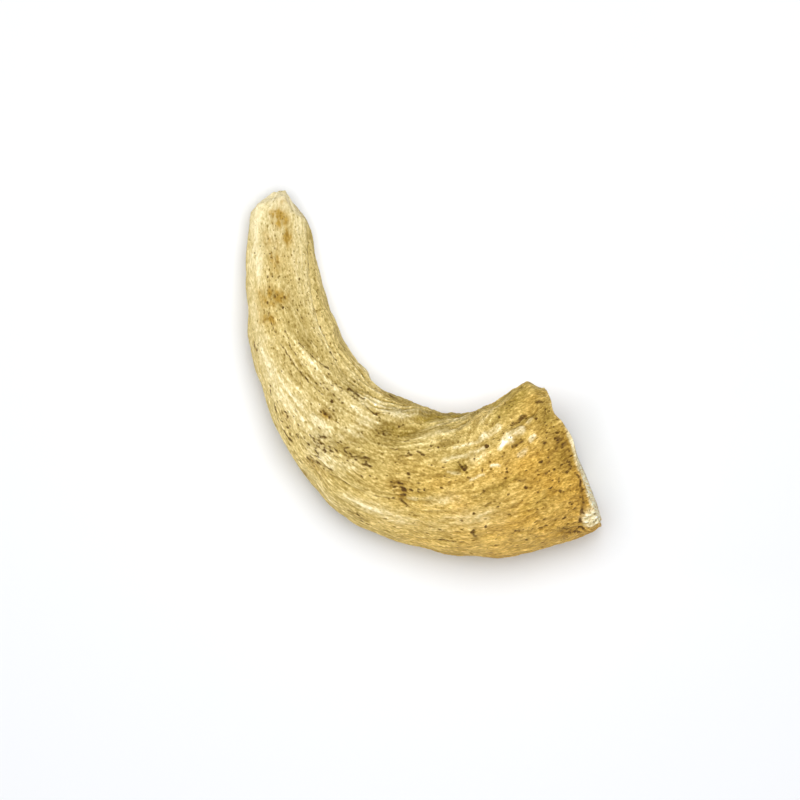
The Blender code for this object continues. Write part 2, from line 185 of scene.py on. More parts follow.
# Holes on the top side, as (along, across, radius, depth, dirt)
HOLES = (
    (112.4, 4.8, 0.75, 1, 1), (112.9, 1.1, 0.5, 0.5, 0.8), (108.9, 11.7, 0.5, 0.6, 0.8), (113.6, -3, 0.5, 0.4, 0.8),
    (115.9, -1.5, 0.7, 0.6, 0.9), (118.3, -1.1, 0.5, 0.4, 0.8), (138.7, -9.4, 0.5, 0.5, 0.9),
    (147.8, -11.6, 0.55, 0.7, 1), (150.9, -8.5, 0.5, 0.5, 0.8), (112.6, -15.8, 0.5, 0.6, 0.8),
    (107.3, -17.9, 0.6, 0.6, 0.8), (115.7, -18.2, 0.5, 0.6, 0.9), (122, -16.8, 0.5, 0.5, 0.8),
    (108.3, -25.5, 0.6, 0.7, 1), (92.1, -18.8, 0.6, 0.7, 1), (94.8, -19.9, 0.6, 0.7, 1), (148.9, 29.9, 0.7, 0.7, 1),
    (157.1, 9.8, 0.6, 0.5, 0.9), (167.4, -8.8, 1, 0.8, 0.9), (168.2, -11.4, 0.9, 0.8, 0.95),
    (166.2, -8.2, 0.6, 0.5, 0.8), (165.2, -10.2, 0.5, 0.4, 0.7), (163.2, -8.8, 0.5, 0.4, 0.7),
    (169.4, -9.6, 0.5, 0.4, 0.7), (166.7, 0.1, 0.65, 0.7, 1), (167.7, -1.8, 0.45, 0.4, 0.8),
    (140.4, 12.3, 0.5, 0.4, 0.8), (142.8, 12.3, 0.5, 0.4, 0.8), (145.5, 13.5, 0.6, 0.5, 0.9),
    (142.9, 10.4, 0.5, 0.4, 0.7), (149, 15.7, 0.5, 0.4, 0.8), (153.9, 19.3, 0.5, 0.4, 0.7),
    (151.2, -29.3, 0.5, 0.5, 0.8), (154, -28.9, 0.6, 0.5, 0.9), (155.8, -29.3, 0.5, 0.5, 0.8),
    (156.7, -31.1, 0.5, 0.5, 0.8), (173.6, 16.9, 0.5, 0.5, 0.8), (173.6, 15.5, 0.5, 0.5, 0.8),
    (178.1, 16.3, 0.45, 0.5, 0.9), (170.8, -7.6, 0.5, 0.6, 1), (174.1, -6.9, 0.45, 0.4, 0.8),
    (176.7, -5.2, 0.5, 0.5, 0.9), (189.9, 20.1, 0.5, 0.4, 0.7), (210, 18.2, 1, 1.3, 1),
    (206.8, 19.4, 0.5, 0.5, 0.8), (203.6, 18.4, 0.6, 0.5, 0.8), (203.3, 13.9, 0.5, 0.5, 0.9),
    (200.8, 12.9, 0.5, 0.5, 0.9), (218.1, 12, 0.5, 0.5, 0.9), (215.6, 21.5, 0.5, 0.5, 0.8),
    (222.5, 22.6, 0.6, 0.5, 0.8), (223.3, 30.3, 0.6, 0.6, 0.9), (229.1, 32.9, 0.6, 0.5, 0.7),
    (232.2, 32.9, 0.5, 0.5, 0.7), (232.5, 26.2, 0.5, 0.5, 0.7), (205.3, 7.7, 0.5, 0.5, 0.8),
    (218.6, 5.6, 0.5, 0.5, 0.9), (217.8, 3.9, 0.5, 0.5, 0.9), (216.1, 0.9, 0.5, 0.5, 0.9),
    (220.6, 9, 0.55, 0.4, 0.7), (204.4, -2.6, 0.6, 0.3, 0.6), (200, -3.4, 0.6, 0.3, 0.6),
    (215.8, -7.2, 0.5, 0.6, 0.9), (224.3, -6.7, 0.75, 0.9, 1), (229.2, -11.3, 0.5, 0.6, 1),
    (236, -11.2, 0.5, 0.6, 1), (239.6, -14, 0.75, 0.8, 0.9), (225.9, -18.8, 0.5, 0.4, 0.7),
    (199.3, -14.3, 0.45, 0.5, 0.8), (203.9, -21.4, 0.55, 0.7, 0.9), (207, -30.9, 0.6, 0.7, 1),
    (211.8, -29.9, 0.55, 0.5, 0.8), (217.7, -31.7, 0.6, 0.7, 1), (214.5, -25.9, 0.6, 0.5, 0.7),
    (226.6, -27.9, 0.5, 0.5, 0.9), (225.1, -28.6, 0.45, 0.5, 0.8), (236.8, -28.3, 0.75, 0.9, 1),
    (224.8, -24.2, 0.6, 0.4, 0.7), (206.3, -35.3, 0.5, 0.5, 0.9), (195, -28.6, 0.6, 0.5, 0.7),
    (198.1, -34.3, 0.5, 0.5, 0.8), (245.3, -13.5, 0.5, 0.6, 0.9), (235.2, 2.8, 0.7, 0.6, 0.9),
    (240.1, -3.2, 0.6, 0.6, 1), (238, -4.4, 0.5, 0.6, 0.9), (235.5, -3.5, 0.5, 0.5, 0.9),
    (206.6, -10.2, 0.5, 0.3, 0.6), (222.4, -18.2, 0.5, 0.4, 0.7), (245.6, 31.6, 1.2, 1, 0.8),
    (241, 27.8, 0.6, 0.5, 0.8), (240, 10.7, 0.6, 0.5, 0.9), (239.5, 3.6, 0.5, 0.5, 0.8),
    (240.4, 23.6, 0.6, 0.6, 0.8), (242.6, 15, 0.5, 0.5, 0.9), (243.8, 18.4, 0.5, 0.5, 0.8),
    (46.1, 8.3, 0.5, 0.4, 0.8), (59, -1.7, 0.5, 0.4, 0.9), (53.9, 0.2, 0.6, 0.5, 0.9), (52.6, -5.1, 0.6, 0.4, 0.8),
    (54.9, -8.7, 0.6, 0.3, 0.7), (60.1, -9.4, 0.45, 0.3, 0.7), (42.7, -5.1, 0.45, 0.3, 0.7),
    (42.5, -7.3, 0.45, 0.3, 0.7), (28.8, -2.6, 0.4, 0.2, 0.6), (29.6, -1.4, 0.4, 0.2, 0.6),
    (63.5, -12.4, 0.5, 0.3, 0.6), (62.6, -7.7, 0.5, 0.3, 0.6), (71.5, -19.3, 0.5, 0.5, 0.9),
    (73.2, -19.6, 0.7, 0.6, 1), (75.1, -19.1, 0.5, 0.5, 0.9), (246.4, -28.9, 0.6, 0.6, 0.9),
    (248.6, -31.4, 0.6, 0.7, 0.9), (246.4, -33.6, 0.5, 0.5, 0.8), (249, -35, 0.5, 0.6, 0.9),
    (247.6, -36.4, 0.5, 0.5, 0.8), (251, -31, 0.6, 0.6, 0.9), (250.2, -35, 0.45, 0.6, 0.9),
    (249.4, -28.4, 0.4, 0.6, 0.8), (248.2, -38.6, 0.8, 0.6, 1),
)
# Raised flakes and streaks on the top side, as (half width, height, paleness, ((along, across), ...))
FLAKES = (
    (1.1, 0.4, 0.75, ((182.6, 10.9), (189.4, 13.3), (197.9, 14.9), (203.1, 16.2), (208, 17))),
    (0.8, 0.4, 0.65, ((187.8, 17.4), (195.3, 19.4), (204.4, 21.5))),
    (1.5, 0.5, 0.85, ((206.4, 22.4), (211, 23.8), (218.3, 25.7), (221.7, 26.5))),
    (0.8, 0.3, 0.5, ((168.1, 24.3), (177.2, 28.7), (187.1, 32.2))),
    (2.2, 0.8, 1, ((222, 18.9), (226.5, 20.3), (231.6, 21.2))),
    (1.2, 0.4, 0.8, ((219, 17.2), (223, 17.4), (226.4, 18.2))),
    (1.2, 0.5, 0.85, ((217.6, 16.2), (221.6, 17.4), (224.6, 18))), (1.1, 0.5, 0.85, ((234.6, 15), (236.4, 15.8))),
    (0.9, 0.4, 0.7, ((210.6, 8.9), (212.2, 8.5))), (0.7, 0.4, 0.8, ((213.4, 8.9), (214.6, 8))),
    (2, 0.5, 0.85, ((122, 19.4), (130, 22), (140, 25), (149, 27), (157, 28.4))),
    (1.5, 0.2, 0.35, ((226.8, 9.6), (229.6, 11.2))), (1.3, 0.3, 0.4, ((236.4, 23.6), (238.6, 24.6))),
    (0.8, 0.3, 0.6, ((198.6, 3), (202, 4.4), (205.6, 5))), (0.8, 0.3, 0.6, ((186.4, 6), (192, 5.6))),
    (1, 0.3, 0.5, ((171, -12.4), (174, -11))), (1, 0.3, 0.45, ((201, -16), (206, -13.6))),
)
# Long soft furrows (below nought) and ridges, as (half width, height, tone, ((along, across), ...))
STREAKS = (
    (0.9, -0.4, -0.26, ((171.5, 20), (179.8, 24.1), (186, 26.7), (194.7, 28.6), (205.6, 30.8), (211.1, 31.9))),
    (1.1, 0.2, 0.1, ((170, 17.6), (180, 21.6), (190, 24.6), (201, 27.6))),
    (0.9, -0.2, -0.14, ((176, 12.6), (184, 15.2), (192, 16.6), (201, 18.6))),
    (1, -0.3, -0.22, ((190, -4.8), (200, -3.6), (208, -2.2), (216, -1.4), (222, -2))),
    (0.8, -0.2, -0.14, ((172, -1.2), (180, -1.8), (190, 0.6), (198, 3.2))),
    (0.9, -0.2, -0.12, ((186, -14), (196, -14.6), (206, -11), (214, -7.4))),
    (1, 0.2, 0.08, ((176, -9.4), (188, -8.8), (200, -7.4), (212, -4.6))),
    (0.9, -0.2, -0.12, ((180, -22.6), (192, -21.6), (204, -18.6), (216, -17.4), (226, -18.8))),
    (0.8, -0.2, -0.16, ((214, -33), (222, -33.8), (230, -34.2), (238, -36.4))),
    (0.8, -0.2, -0.14, ((224, -28), (232, -27.2), (240, -25.2), (246, -22))),
    (0.8, -0.2, -0.12, ((206, 34.6), (216, 34.4), (226, 34.6), (236, 35.4))),
    (1, -0.3, -0.16, ((138, -13.6), (148, -14.4), (158, -13.6), (168, -12.2))),
    (0.9, 0.1, 0.09, ((138, -23.4), (148, -22.6), (158, -22.2), (170, -21.6), (182, -20.4))),
    (0.8, -0.2, -0.12, ((140, -26.4), (152, -26), (164, -26.2), (178, -26.4))),
    (0.9, -0.2, -0.12, ((112, -18.6), (120, -19.6), (128, -20.6))),
    (0.8, -0.3, -0.18, ((150, 2.4), (160, 3.6), (168, 5), (176, 6))),
    (0.9, -0.3, -0.16, ((96, 17), (106, 18), (116, 20), (126, 23.6), (134, 27))),
    (0.8, -0.2, -0.12, ((100, 9), (108, 9.6), (118, 12.4), (128, 13.8))),
    (1, 0.2, 0.08, ((84, -1), (94, 2.6), (104, 6.2))),
    (0.9, -0.2, -0.12, ((48, 17.6), (60, 17.8), (74, 19), (90, 21))),
)
# The pale porous knob at the outer corner of the base, as (along, across, half length, half breadth)
KNOB = (249.2, -33.4, 5.2, 8.6)
# Where the pale lip of the cut edge starts along the core, by place across
LIP_ACROSS = (-30, -24, -14, -10, -6, 4, 11, 15, 19)
LIP_STARTS = (250.4, 250.9, 251.5, 251.9, 250.8, 249.8, 249.9, 251.4, 253.0)
# Soft stains, bleached patches and patches of painted shade, as (along, across, half length, half breadth,
# strength)
PALE_PATCHES = (
    (117, -8, 9, 5, 0.9), (102, -13, 13, 6, 0.95), (84, -16, 14, 4, 0.85), (92, 5, 8, 3, 0.25),
    (36, -11.5, 10, 3.5, 0.9), (6, 2, 8, 10, 0.95), (20, 9.4, 10, 4, 0.45), (34, 9, 14, 4, 0.4),
    (18, -12.5, 26, 4, 0.95), (22, -2, 10, 6, 0.3), (60, -15, 12, 3, 0.5), (133, 12, 5.5, 3.6, 0.85),
    (124, 15, 6, 4, 0.5), (146, 24.5, 12, 4, 0.9), (131, -16, 8, 5, 0.75), (141, -10, 5, 3, 0.55),
    (157, -23, 9, 3.5, 0.7), (170, -24, 8, 4, 0.4), (131, 2, 6, 4, 0.45), (186, -8, 8, 3, 0.3),
    (141, -29, 8, 3, 0.4), (205, 14, 6, 3, 0.3), (108, 8, 8, 3, 0.3), (180, 24, 14, 3, 0.35), (122, 26, 6, 2, 0.3),
    (198, -17, 12, 5, 0.3), (190, 33, 14, 2.5, 0.3), (218, 33, 12, 2.5, 0.35), (62, 12.5, 26, 2, 0.25),
)
# The olive patches along the inner edge of the arm, bend and base, and in the hollow of the bend, are partly stain
# and partly painted shade
OLIVE_STAIN_AND_SHADE_PATCHES = (
    (147, 17, 9, 5, 0.8), (156, 20, 9, 6, 0.8), (141, 12, 5, 4, 0.5), (152, 12, 7, 3, 0.4), (166, 30, 18, 5, 1),
    (186, 32, 14, 3.5, 0.75), (130, 30, 14, 2, 0.6), (176, 26, 12, 3, 0.5), (214, 36, 16, 4, 0.6),
    (234, 35, 16, 7, 0.7), (238, 26, 8, 5, 0.5), (112, 25, 16, 2, 0.35), (60, 17, 30, 1.4, 0.45),
    (25, 14.5, 14, 1.2, 0.5), (122, -13, 4, 6, 0.45), (130, -8, 8, 4, 0.45), (142, -4, 7, 3, 0.4),
    (136, 2, 7, 7, 0.4), (112, 15, 8, 3, 0.5), (70, 2, 18, 6, 0.3), (96, 1, 12, 4, 0.35), (193, 9, 5, 4, 0.6),
    (247, 22, 5, 8, 0.5), (214, -2, 12, 2, 0.45), (226, -16, 10, 4, 0.3), (175, -10, 8, 5, 0.3),
)
RUST_PATCHES = (
    (14.6, 0.2, 7, 4.8, 1), (20, 1, 12, 6, 0.4), (23.4, 3.8, 6.5, 2.8, 1), (24.2, -6.9, 6, 2.6, 0.6),
    (35.5, -3.4, 6.5, 4, 0.8), (28, -2, 7, 6, 0.35), (40, 4, 10, 5, 0.25), (53.6, -5.4, 5, 8.5, 1),
    (54.4, -9.4, 2.4, 2.6, 0.6), (63, -10.2, 3.8, 5, 0.95), (116, -1.8, 4, 2, 0.85), (162.6, -7.2, 4, 3, 0.9),
    (167.2, -11.6, 2, 3.4, 0.8), (132, -22.6, 6, 3, 0.5), (154, -29, 4, 2.4, 0.5), (73, -19.6, 3, 1.4, 0.6),
    (245.6, 4, 6.5, 15, 1), (238, 2, 8, 7, 0.5), (243, 32, 9, 8, 0.55), (240, -34, 9, 4, 0.7),
    (226, -35, 10, 3, 0.5), (232, -5, 9, 3, 0.3), (245.6, 26, 3, 8, 0.35), (164, 5, 6, 4, 0.3),
    (212, -37, 16, 2, 0.4), (126, 27, 8, 1.6, 0.5), (208, 19.2, 6, 1.6, 0.4), (107, -18.2, 4, 2.4, 0.4),
    (180, 18.6, 5, 2, 0.4), (228, 15.6, 4, 1.4, 0.5), (151, 31, 6, 1.2, 0.5),
)

# Where the bone is darker, in the same terms; a strip along the inner edge of the bend and a line under the pale
# chip near the base are painted shade
DARK_AND_SHADE_PATCHES = (
    (247, 4, 5, 13, 1.1), (245, 28, 7, 9, 0.95), (248.6, -20, 2.6, 9, 0.7), (240, -35, 7, 3.4, 0.9),
    (229, -36, 9, 2.4, 0.5), (240, 1.6, 4, 3, 0.35), (243, 10, 3, 3, 0.35), (228, -5, 7, 2, 0.4),
    # The patch at along 160, across 30 on the next line is painted shade on the strip along the inner edge of the
    # bend
    (163, -7, 3.2, 2.2, 0.9), (167.4, -11, 1.8, 3.2, 0.9), (149, 18, 7, 2.4, 0.15), (160, 30, 17, 3.4, 0.38),
    (193.6, 9.4, 3, 2.2, 0.6), (208.6, 18.8, 4, 1.4, 0.5), (53.8, -5.6, 3, 7, 0.42), (116, -1.8, 2.6, 1.6, 0.5),
    (233, 27.2, 5, 2, 0.5), (245.6, 31.6, 2.2, 1.8, 0.6), (126, -11, 5, 4, 0.35), (138, -5, 6, 2, 0.35),
    (246, 34, 5, 7, 0.5), (143, 12, 5, 3, 0.25), (130, 28, 12, 1.4, 0.4), (147, -2.6, 4, 1.6, 0.3),
    # The patch at along 228, across 15.6 on the next line is painted shadow under the pale chip near the base
    (106, -18.6, 4, 2.4, 0.35), (154, -28.8, 4, 2.4, 0.4), (132, -22, 6, 2, 0.32), (228, 15.6, 4, 1.2, 0.5),
    (213, -26, 4, 3, 0.25), (199.8, -24.6, 1.6, 2.6, 0.4), (14, 0, 5, 3.4, 0.36), (113, 15.4, 5, 1.4, 0.4),
    (23.4, 3.8, 5, 2, 0.36), (63, -10, 2.6, 4, 0.36), (35, -3, 5, 3, 0.16), (24, -7, 5, 2, 0.16),
    (236, -12, 6, 4, 0.25), (158, 10, 5, 2.4, 0.4), (226, -20, 7, 3, 0.2), (205, 31, 9, 1.6, 0.3),
    (219, 10, 4, 3, 0.2), (222, -28, 6, 2.4, 0.25),
)

# Fields of short dark marks, as (along, across, half length, half breadth, how many, length of a mark, dirt)
FIELDS = (
    (128, -10, 8, 4.5, 36, 1.2, 0.9), (142, -5, 8, 2.8, 20, 1, 0.85), (124, -14, 5, 4, 14, 0.9, 0.9),
    (107, -20, 9, 3.4, 24, 0.8, 0.9), (116, -20, 6, 3, 14, 0.9, 0.9), (131, -22.5, 6, 2, 16, 1.5, 0.8),
    (154, -29, 5, 2, 14, 0.8, 0.85), (106, 8, 10, 6, 40, 0.8, 0.75), (94, 8, 10, 7, 26, 0.9, 0.6),
    (146, 13.5, 7, 3.6, 30, 0.9, 0.75), (164, -9, 4.5, 4, 20, 0.6, 0.85), (160, 7, 9, 3.4, 26, 0.9, 0.8),
    (175, -4, 12, 5, 24, 0.7, 0.75), (176, 12, 8, 4, 16, 0.7, 0.65), (190, 2, 12, 5, 24, 0.7, 0.75),
    (200, 18, 10, 3, 18, 0.7, 0.7), (236, -8, 9, 9, 44, 0.7, 0.75), (240, 8, 8, 9, 34, 0.7, 0.75),
    (222, -26, 14, 5, 36, 0.7, 0.75), (246, -22, 4, 8, 20, 0.7, 0.85), (240, 28, 8, 8, 30, 0.8, 0.7),
    (200, -29, 16, 4, 30, 0.8, 0.7), (182, -27, 10, 5, 18, 0.8, 0.65), (240, -35, 6, 3, 18, 1.6, 0.9),
    (247, 5, 3, 13, 60, 0.8, 0.9), (247, 27, 4, 8, 30, 0.7, 0.85), (73, -19, 5, 2, 8, 0.7, 0.7),
    (210, -8, 14, 7, 26, 0.6, 0.6), (205, 32, 16, 2.4, 20, 1.4, 0.6), (98, -14, 14, 6, 10, 0.7, 0.6),
    (72, 6, 16, 8, 26, 0.7, 0.5), (118, 14, 6, 2, 14, 1.2, 0.8),
)
MARK_HALF_WIDTH = 0.31

# How many pits lie scattered over the whole surface
SCATTERED_PITS = 760

# How far the colour has gone from tip cream (0) to base amber (1), by place along the core
GRADE_ALONGS = (0, 30, 80, 120, 150, 180, 215, 252)
GRADES = (0.05, 0.30, 0.35, 0.35, 0.54, 0.74, 0.90, 0.98)
# How much darker or paler the whole bone is, by place along the core
TONE_ALONGS = (0, 60, 90, 112, 150, 175, 192, 220, 252)
TONES = (0.03, 0.03, -0.01, -0.07, -0.09, -0.06, -0.02, 0.05, 0.05)

# How lively the fine grain is, by place along the core
GRAIN_ALONGS = (0, 40, 95, 125, 165, 200, 252)
GRAIN_SIZES = (0.55, 0.72, 0.9, 1.1, 1.05, 1.1, 1.2)
MOST_GRAIN = 1.5

# The map of the surface on which detail is drawn before the mesh reads it
MAP_STEP = 0.5
MAP_TURNS = 640

# The visible mesh: rows over the tip's break, the body and the base face, and points round it
AROUND = 252
TIP_ROWS = 14
BODY_ROWS = 334
WALL_ROWS = 7
SPONGE_ROWS = 28
# Points stand closer on the top side, by this share
CROWD_TOP = 0.4
WELD_DISTANCE = 0.000005
# The cut face is lifted this much in tone as painted light, since it stands side-on to the lamps, and its cells lie
# this far apart
FACE_PAINTED_LIGHT = 0.1
WIDE_CELLS = 4.6
SMALL_CELLS = 2.3
FACE_REACH = 46.0


def smooth_step(x):
    x = np.clip(x, 0.0, 1.0)
    return x * x * (3.0 - 2.0 * x)


def run(values, along):
    """A smooth run through values set at even steps along the core."""
    values = np.asarray(values, float)
    knots = np.linspace(0.0, CORE_LENGTH, len(values))
    slopes = np.gradient(values, knots)
    i = np.clip(np.searchsorted(knots, along, side="right") - 1, 0, len(knots) - 2)
    step = knots[i + 1] - knots[i]
    t = np.clip((along - knots[i]) / step, 0.0, 1.0)
    start = (1 + 2 * t) * (1 - t) ** 2 * values[i] + t * (1 - t) ** 2 * step * slopes[i]
    end = t * t * (3 - 2 * t) * values[i + 1] - t * t * (1 - t) * step * slopes[i + 1]
    return start + end


def middle_line(along):
    """Place and heading of the middle line."""
    fine = np.linspace(0.0, CORE_LENGTH, 1009)
    heading = np.radians(run(HEADINGS_DEG, fine))
    step = fine[1]
    place = []
    for start, part in zip(TIP_POINT, (np.cos(heading), np.sin(heading))):
        gone = start + np.concatenate(([0.0], np.cumsum((part[1:] + part[:-1]) * step / 2)))
        place.append(np.interp(along, fine, gone))
    return place[0], place[1], np.interp(along, fine, heading)


def line_reach(points, along, turn_mm, radius):
    """How far each place is from a line drawn on the unrolled surface, and the line's value there."""
    best = np.full(along.shape, 1e9)
    value = np.zeros(along.shape)
    full_turn = 2 * np.pi * radius
    for (s0, t0, v0), (s1, t1, v1) in zip(points[:-1], points[1:]):
        turn_step = (t1 - t0 + 180.0) % 360.0 - 180.0
        dx, dy = s1 - s0, np.radians(turn_step) * radius
        px = along - s0
        py = turn_mm - np.radians(t0) * radius
        py = py - full_turn * np.round(py / full_turn)
        share = np.clip((px * dx + py * dy) / (dx * dx + dy * dy), 0.0, 1.0)
        gap = np.hypot(px - share * dx, py - share * dy)
        value = np.where(gap < best, v0 + (v1 - v0) * share, value)
        best = np.minimum(best, gap)
    return best, value


def relief(along, turn):
    """Height of the surface over its plain section, as in the part's source."""
    radius = run(HALF_WIDTHS, along)
    turn_mm = turn * radius
    height = np.zeros(along.shape)
    for width, points in LINES:
        gap, size = line_reach(points, along, turn_mm, radius)
        height = height + size * np.exp(-((gap / width) ** 2))
    for s0, t0, long_radius, round_radius, size in SPOTS:
        aside = ((turn - np.radians(t0) + np.pi) % (2 * np.pi) - np.pi) * radius
        height = height + size * np.exp(-((along - s0) / long_radius) ** 2 - (aside / round_radius) ** 2)
    swell_turn = turn - np.radians(run(SWELL_TURNS_DEG, along))
    ease = smooth_step(along / 60.0) * 0.7 + 0.3
    for size, waves_along, waves_round, start in SWELLS:
        wave = np.sin(2 * np.pi * waves_along * along / CORE_LENGTH + start)
        height = height + ease * size * wave * np.sin(waves_round * swell_turn + start * 1.7)
    return height


def tip_start(turn, ring):
    """Where the bone starts along the core, on a ring of the broken tip."""
    side = np.interp(ring * TIP_HALF_WIDTH * np.sin(turn), TIP_SIDES, TIP_STARTS)
    dome = TIP_DOME * (1.0 - np.sqrt(1.0 - (0.94 * ring * np.cos(turn)) ** 2))
    across, up = TIP_HALF_WIDTH * ring * np.sin(turn), TIP_HALF_WIDTH * ring * np.cos(turn)
    roughness = 0.5 * np.sin(0.52 * across + 0.3 * up) + 0.45 * np.sin(0.64 * up - 0.22 * across + 1.9)
    return side + dome + roughness


def core_points(along, turn, ring, recess, height):
    """Points of the surface, or of a ring drawn in towards the middle line, in millimetres."""
    half_width = run(HALF_WIDTHS, along)
    half_depth = run(HALF_DEPTHS, along)
    lean = run(LEANS, along)
    window = np.exp(-((turn - np.radians(92.0)) / np.radians(34.0)) ** 2)
    to_end = (along - CORE_LENGTH + CORNER_CHIP_LENGTH) / CORNER_CHIP_LENGTH
    height = height - CORNER_CHIP * window * smooth_step(to_end)
    worn = np.exp(-((turn - np.radians(-88.0)) / np.radians(26.0)) ** 2)
    height = height - OUTER_CORNER_WEAR * worn * smooth_step(to_end) ** 2
    sideways = ring * (half_width * np.sin(turn) + height * np.sin(turn))
    upward = ring * (half_depth * np.cos(turn) + height * np.cos(turn)) + lean * sideways
    middle_height = np.sqrt(half_depth ** 2 + (lean * half_width) ** 2) + run(LIFTS, along)
    x, y, heading = middle_line(along)
    lean_back = np.tan(np.radians(BASE_LEAN_BACK_DEG)) * smooth_step((along - CORE_LENGTH + 34.0) / 34.0)
    side = ring * np.sin(turn)
    upright = INNER_EDGE_UPRIGHT * smooth_step((side + 0.35) / 0.6) * (1.0 - smooth_step((side - 0.58) / 0.30))
    near_end = smooth_step((along - CORE_LENGTH + 12.0) / 12.0)
    knob = np.exp(-((turn - np.radians(-76.0)) / np.radians(16.0)) ** 2) * np.exp(-((ring - 1.0) / 0.12) ** 2)
    broken = np.exp(-((turn - np.radians(100.0)) / np.radians(22.0)) ** 2) * ring ** 6
    rounded = np.exp(-((turn - np.radians(-97.0)) / np.radians(13.0)) ** 2) * ring ** 6
    forward = (KNOB_HEIGHT * knob - CORNER_CHIP_BACK * broken - OUTER_CORNER_BACK * rounded) * near_end - recess
    leaned = np.where(upward > 0.0, TOP_LEAN_SHARE * upward, upward)
    forward = forward - lean_back * ((1.0 - upright) * leaned - upright * half_depth * INNER_EDGE_FORWARD)
    for middle, reach, size in EDGE_WAVES:
        forward = forward + size * np.exp(-((side - middle) / reach) ** 2) * near_end
    z = np.maximum(middle_height + upward, 0.0)
    x = x - np.sin(heading) * sideways + np.cos(heading) * forward
    y = y + np.cos(heading) * sideways + np.sin(heading) * forward
    return np.stack([x, y, z], axis=-1)


# ---------------------------------------------------------------- noise, fibres and drawing on the map
def noise(place, size, seed):
    """Smooth noise from about -1 to 1 over points in space, with lumps of one size."""
    rng = np.random.default_rng(seed)
    shuffle = np.concatenate([rng.permutation(256)] * 2)
    slope = rng.normal(size=(256, 3))
    slope /= np.linalg.norm(slope, axis=1)[:, None]
    scaled = place / size
    cell = np.floor(scaled).astype(np.int64)
    inside = scaled - cell
    ease = inside ** 3 * (inside * (inside * 6 - 15) + 10)
    total = np.zeros(place.shape[:-1])
    for corner in itertools.product((0, 1), repeat=3):
        key = [(cell[..., k] + corner[k]) & 255 for k in range(3)]
        key = shuffle[shuffle[shuffle[key[0]] + key[1]] + key[2]]
        share = 1.0
        dot = 0.0
        for k in range(3):
            share = share * (ease[..., k] if corner[k] else 1 - ease[..., k])
            dot = dot + slope[key][..., k] * (inside[..., k] - corner[k])
        total += share * dot
    return total * 1.7


def pick(grid, along, turn):
    """Values of a map at places, blended between its points; the map closes round the bone."""
    a = np.clip(along / MAP_STEP, 0, grid.shape[0] - 1.001)
    t = (turn / (2 * np.pi) + 0.5) * MAP_TURNS
    a0, t0 = np.floor(a).astype(int), np.floor(t).astype(int)
    fa, ft = a - a0, t - t0
    t0, t1 = t0 % MAP_TURNS, (t0 + 1) % MAP_TURNS
    near = grid[a0, t0] * (1 - ft) + grid[a0, t1] * ft
    far = grid[a0 + 1, t0] * (1 - ft) + grid[a0 + 1, t1] * ft
    return near * (1 - fa) + far * fa


def soften(grid, rounds):
    """The map, blurred over its neighbours so many times."""
    for _ in range(rounds):
        grid = (np.roll(grid, 1, 1) + np.roll(grid, -1, 1) + 2 * grid) / 4
        padded = np.pad(grid, ((1, 1), (0, 0)), mode="edge")
        grid = (padded[:-2] + padded[2:] + 2 * grid) / 4
    return grid


def even_out(grid):
    return (grid - grid.mean()) / grid.std()


def flow_map(along, turn):
    """Radians of turn that the fibres gain per mm along the core."""
    folded = np.where(np.abs(turn) > np.pi / 2, np.sign(turn) * np.pi - turn, turn)
    side = np.where(np.abs(turn) > np.pi / 2, -1.0, 1.0)
    column = np.interp(np.degrees(folded), FLOW_TURNS_DEG, np.arange(len(FLOW_TURNS_DEG)))
    row = np.interp(along, FLOW_ALONGS, np.arange(len(FLOW_ALONGS)))
    table = np.array(FLOW)
    r0 = np.minimum(row.astype(int), len(table) - 2)
    c0 = np.minimum(column.astype(int), table.shape[1] - 2)
    fr, fc = row - r0, column - c0
    near = table[r0, c0] * (1 - fc) + table[r0, c0 + 1] * fc
    far = table[r0 + 1, c0] * (1 - fc) + table[r0 + 1, c0 + 1] * fc
    return np.radians(near * (1 - fr) + far * fr) * side


def drag(source, flow, reach, step):
    """The source drawn out along the fibres, over a reach either way."""
    total = source.copy()
    count = int(reach / step)
    for way in (1.0, -1.0):
        along, turn = ALONG.copy(), TURN.copy()
        for k in range(count):
            turn = turn + way * step * pick(flow, along, turn)
            along = along + way * step
            total += pick(source, along, turn) * (0.5 + 0.5 * math.cos(math.pi * (k + 1) / (count + 1)))
    return even_out(total)


def top_turn_deg(along, across):
    """The turn, in degrees, of a place on the top side that is given by its distance across."""
    half_width = float(run(HALF_WIDTHS, np.array([float(along)]))[0])
    return math.degrees(math.asin(max(-0.995, min(0.995, across / half_width))))


def top_line(points):
    return tuple((along, top_turn_deg(along, across), 1.0) for along, across in points)


def aside_mm(turn_deg):
    """Distance round the bone from a turn, the short way."""
    return ((TURN - math.radians(turn_deg) + np.pi) % (2 * np.pi) - np.pi) * RADIUS


def patch_map(patches, ragged):
    """Soft patches whose length follows the fibres, with ragged edges."""
    total = np.zeros(ALONG.shape)
    for along, across, half_length, half_breadth, strength in patches:
        turn_deg = top_turn_deg(along, across)
        gone = ALONG - along
        lean = float(pick(FLOW_GRID, np.array([float(along)]), np.array([math.radians(turn_deg)]))[0])
        aside = aside_mm(turn_deg) - gone * lean * RADIUS
        reach = (gone / half_length) ** 2 + (aside / half_breadth) ** 2
        total = np.maximum(total, strength * np.exp(-reach * (1.0 + 0.7 * ragged)))
    return total


# The map: alongs down, turns across, and the place of each point in space
ALONG, TURN = np.meshgrid(
    np.arange(0.0, CORE_LENGTH + MAP_STEP, MAP_STEP),
    (np.arange(MAP_TURNS) / MAP_TURNS - 0.5) * 2 * np.pi,
    indexing="ij",
)
RADIUS = run(HALF_WIDTHS, ALONG)
PLACE = core_points(ALONG, TURN, 1.0, 0.0, np.zeros(ALONG.shape))
FLOW_GRID = flow_map(ALONG, TURN)
ACROSS = RADIUS * np.sin(TURN)
TOP = smooth_step(np.cos(TURN) * 1.5 + 0.6)


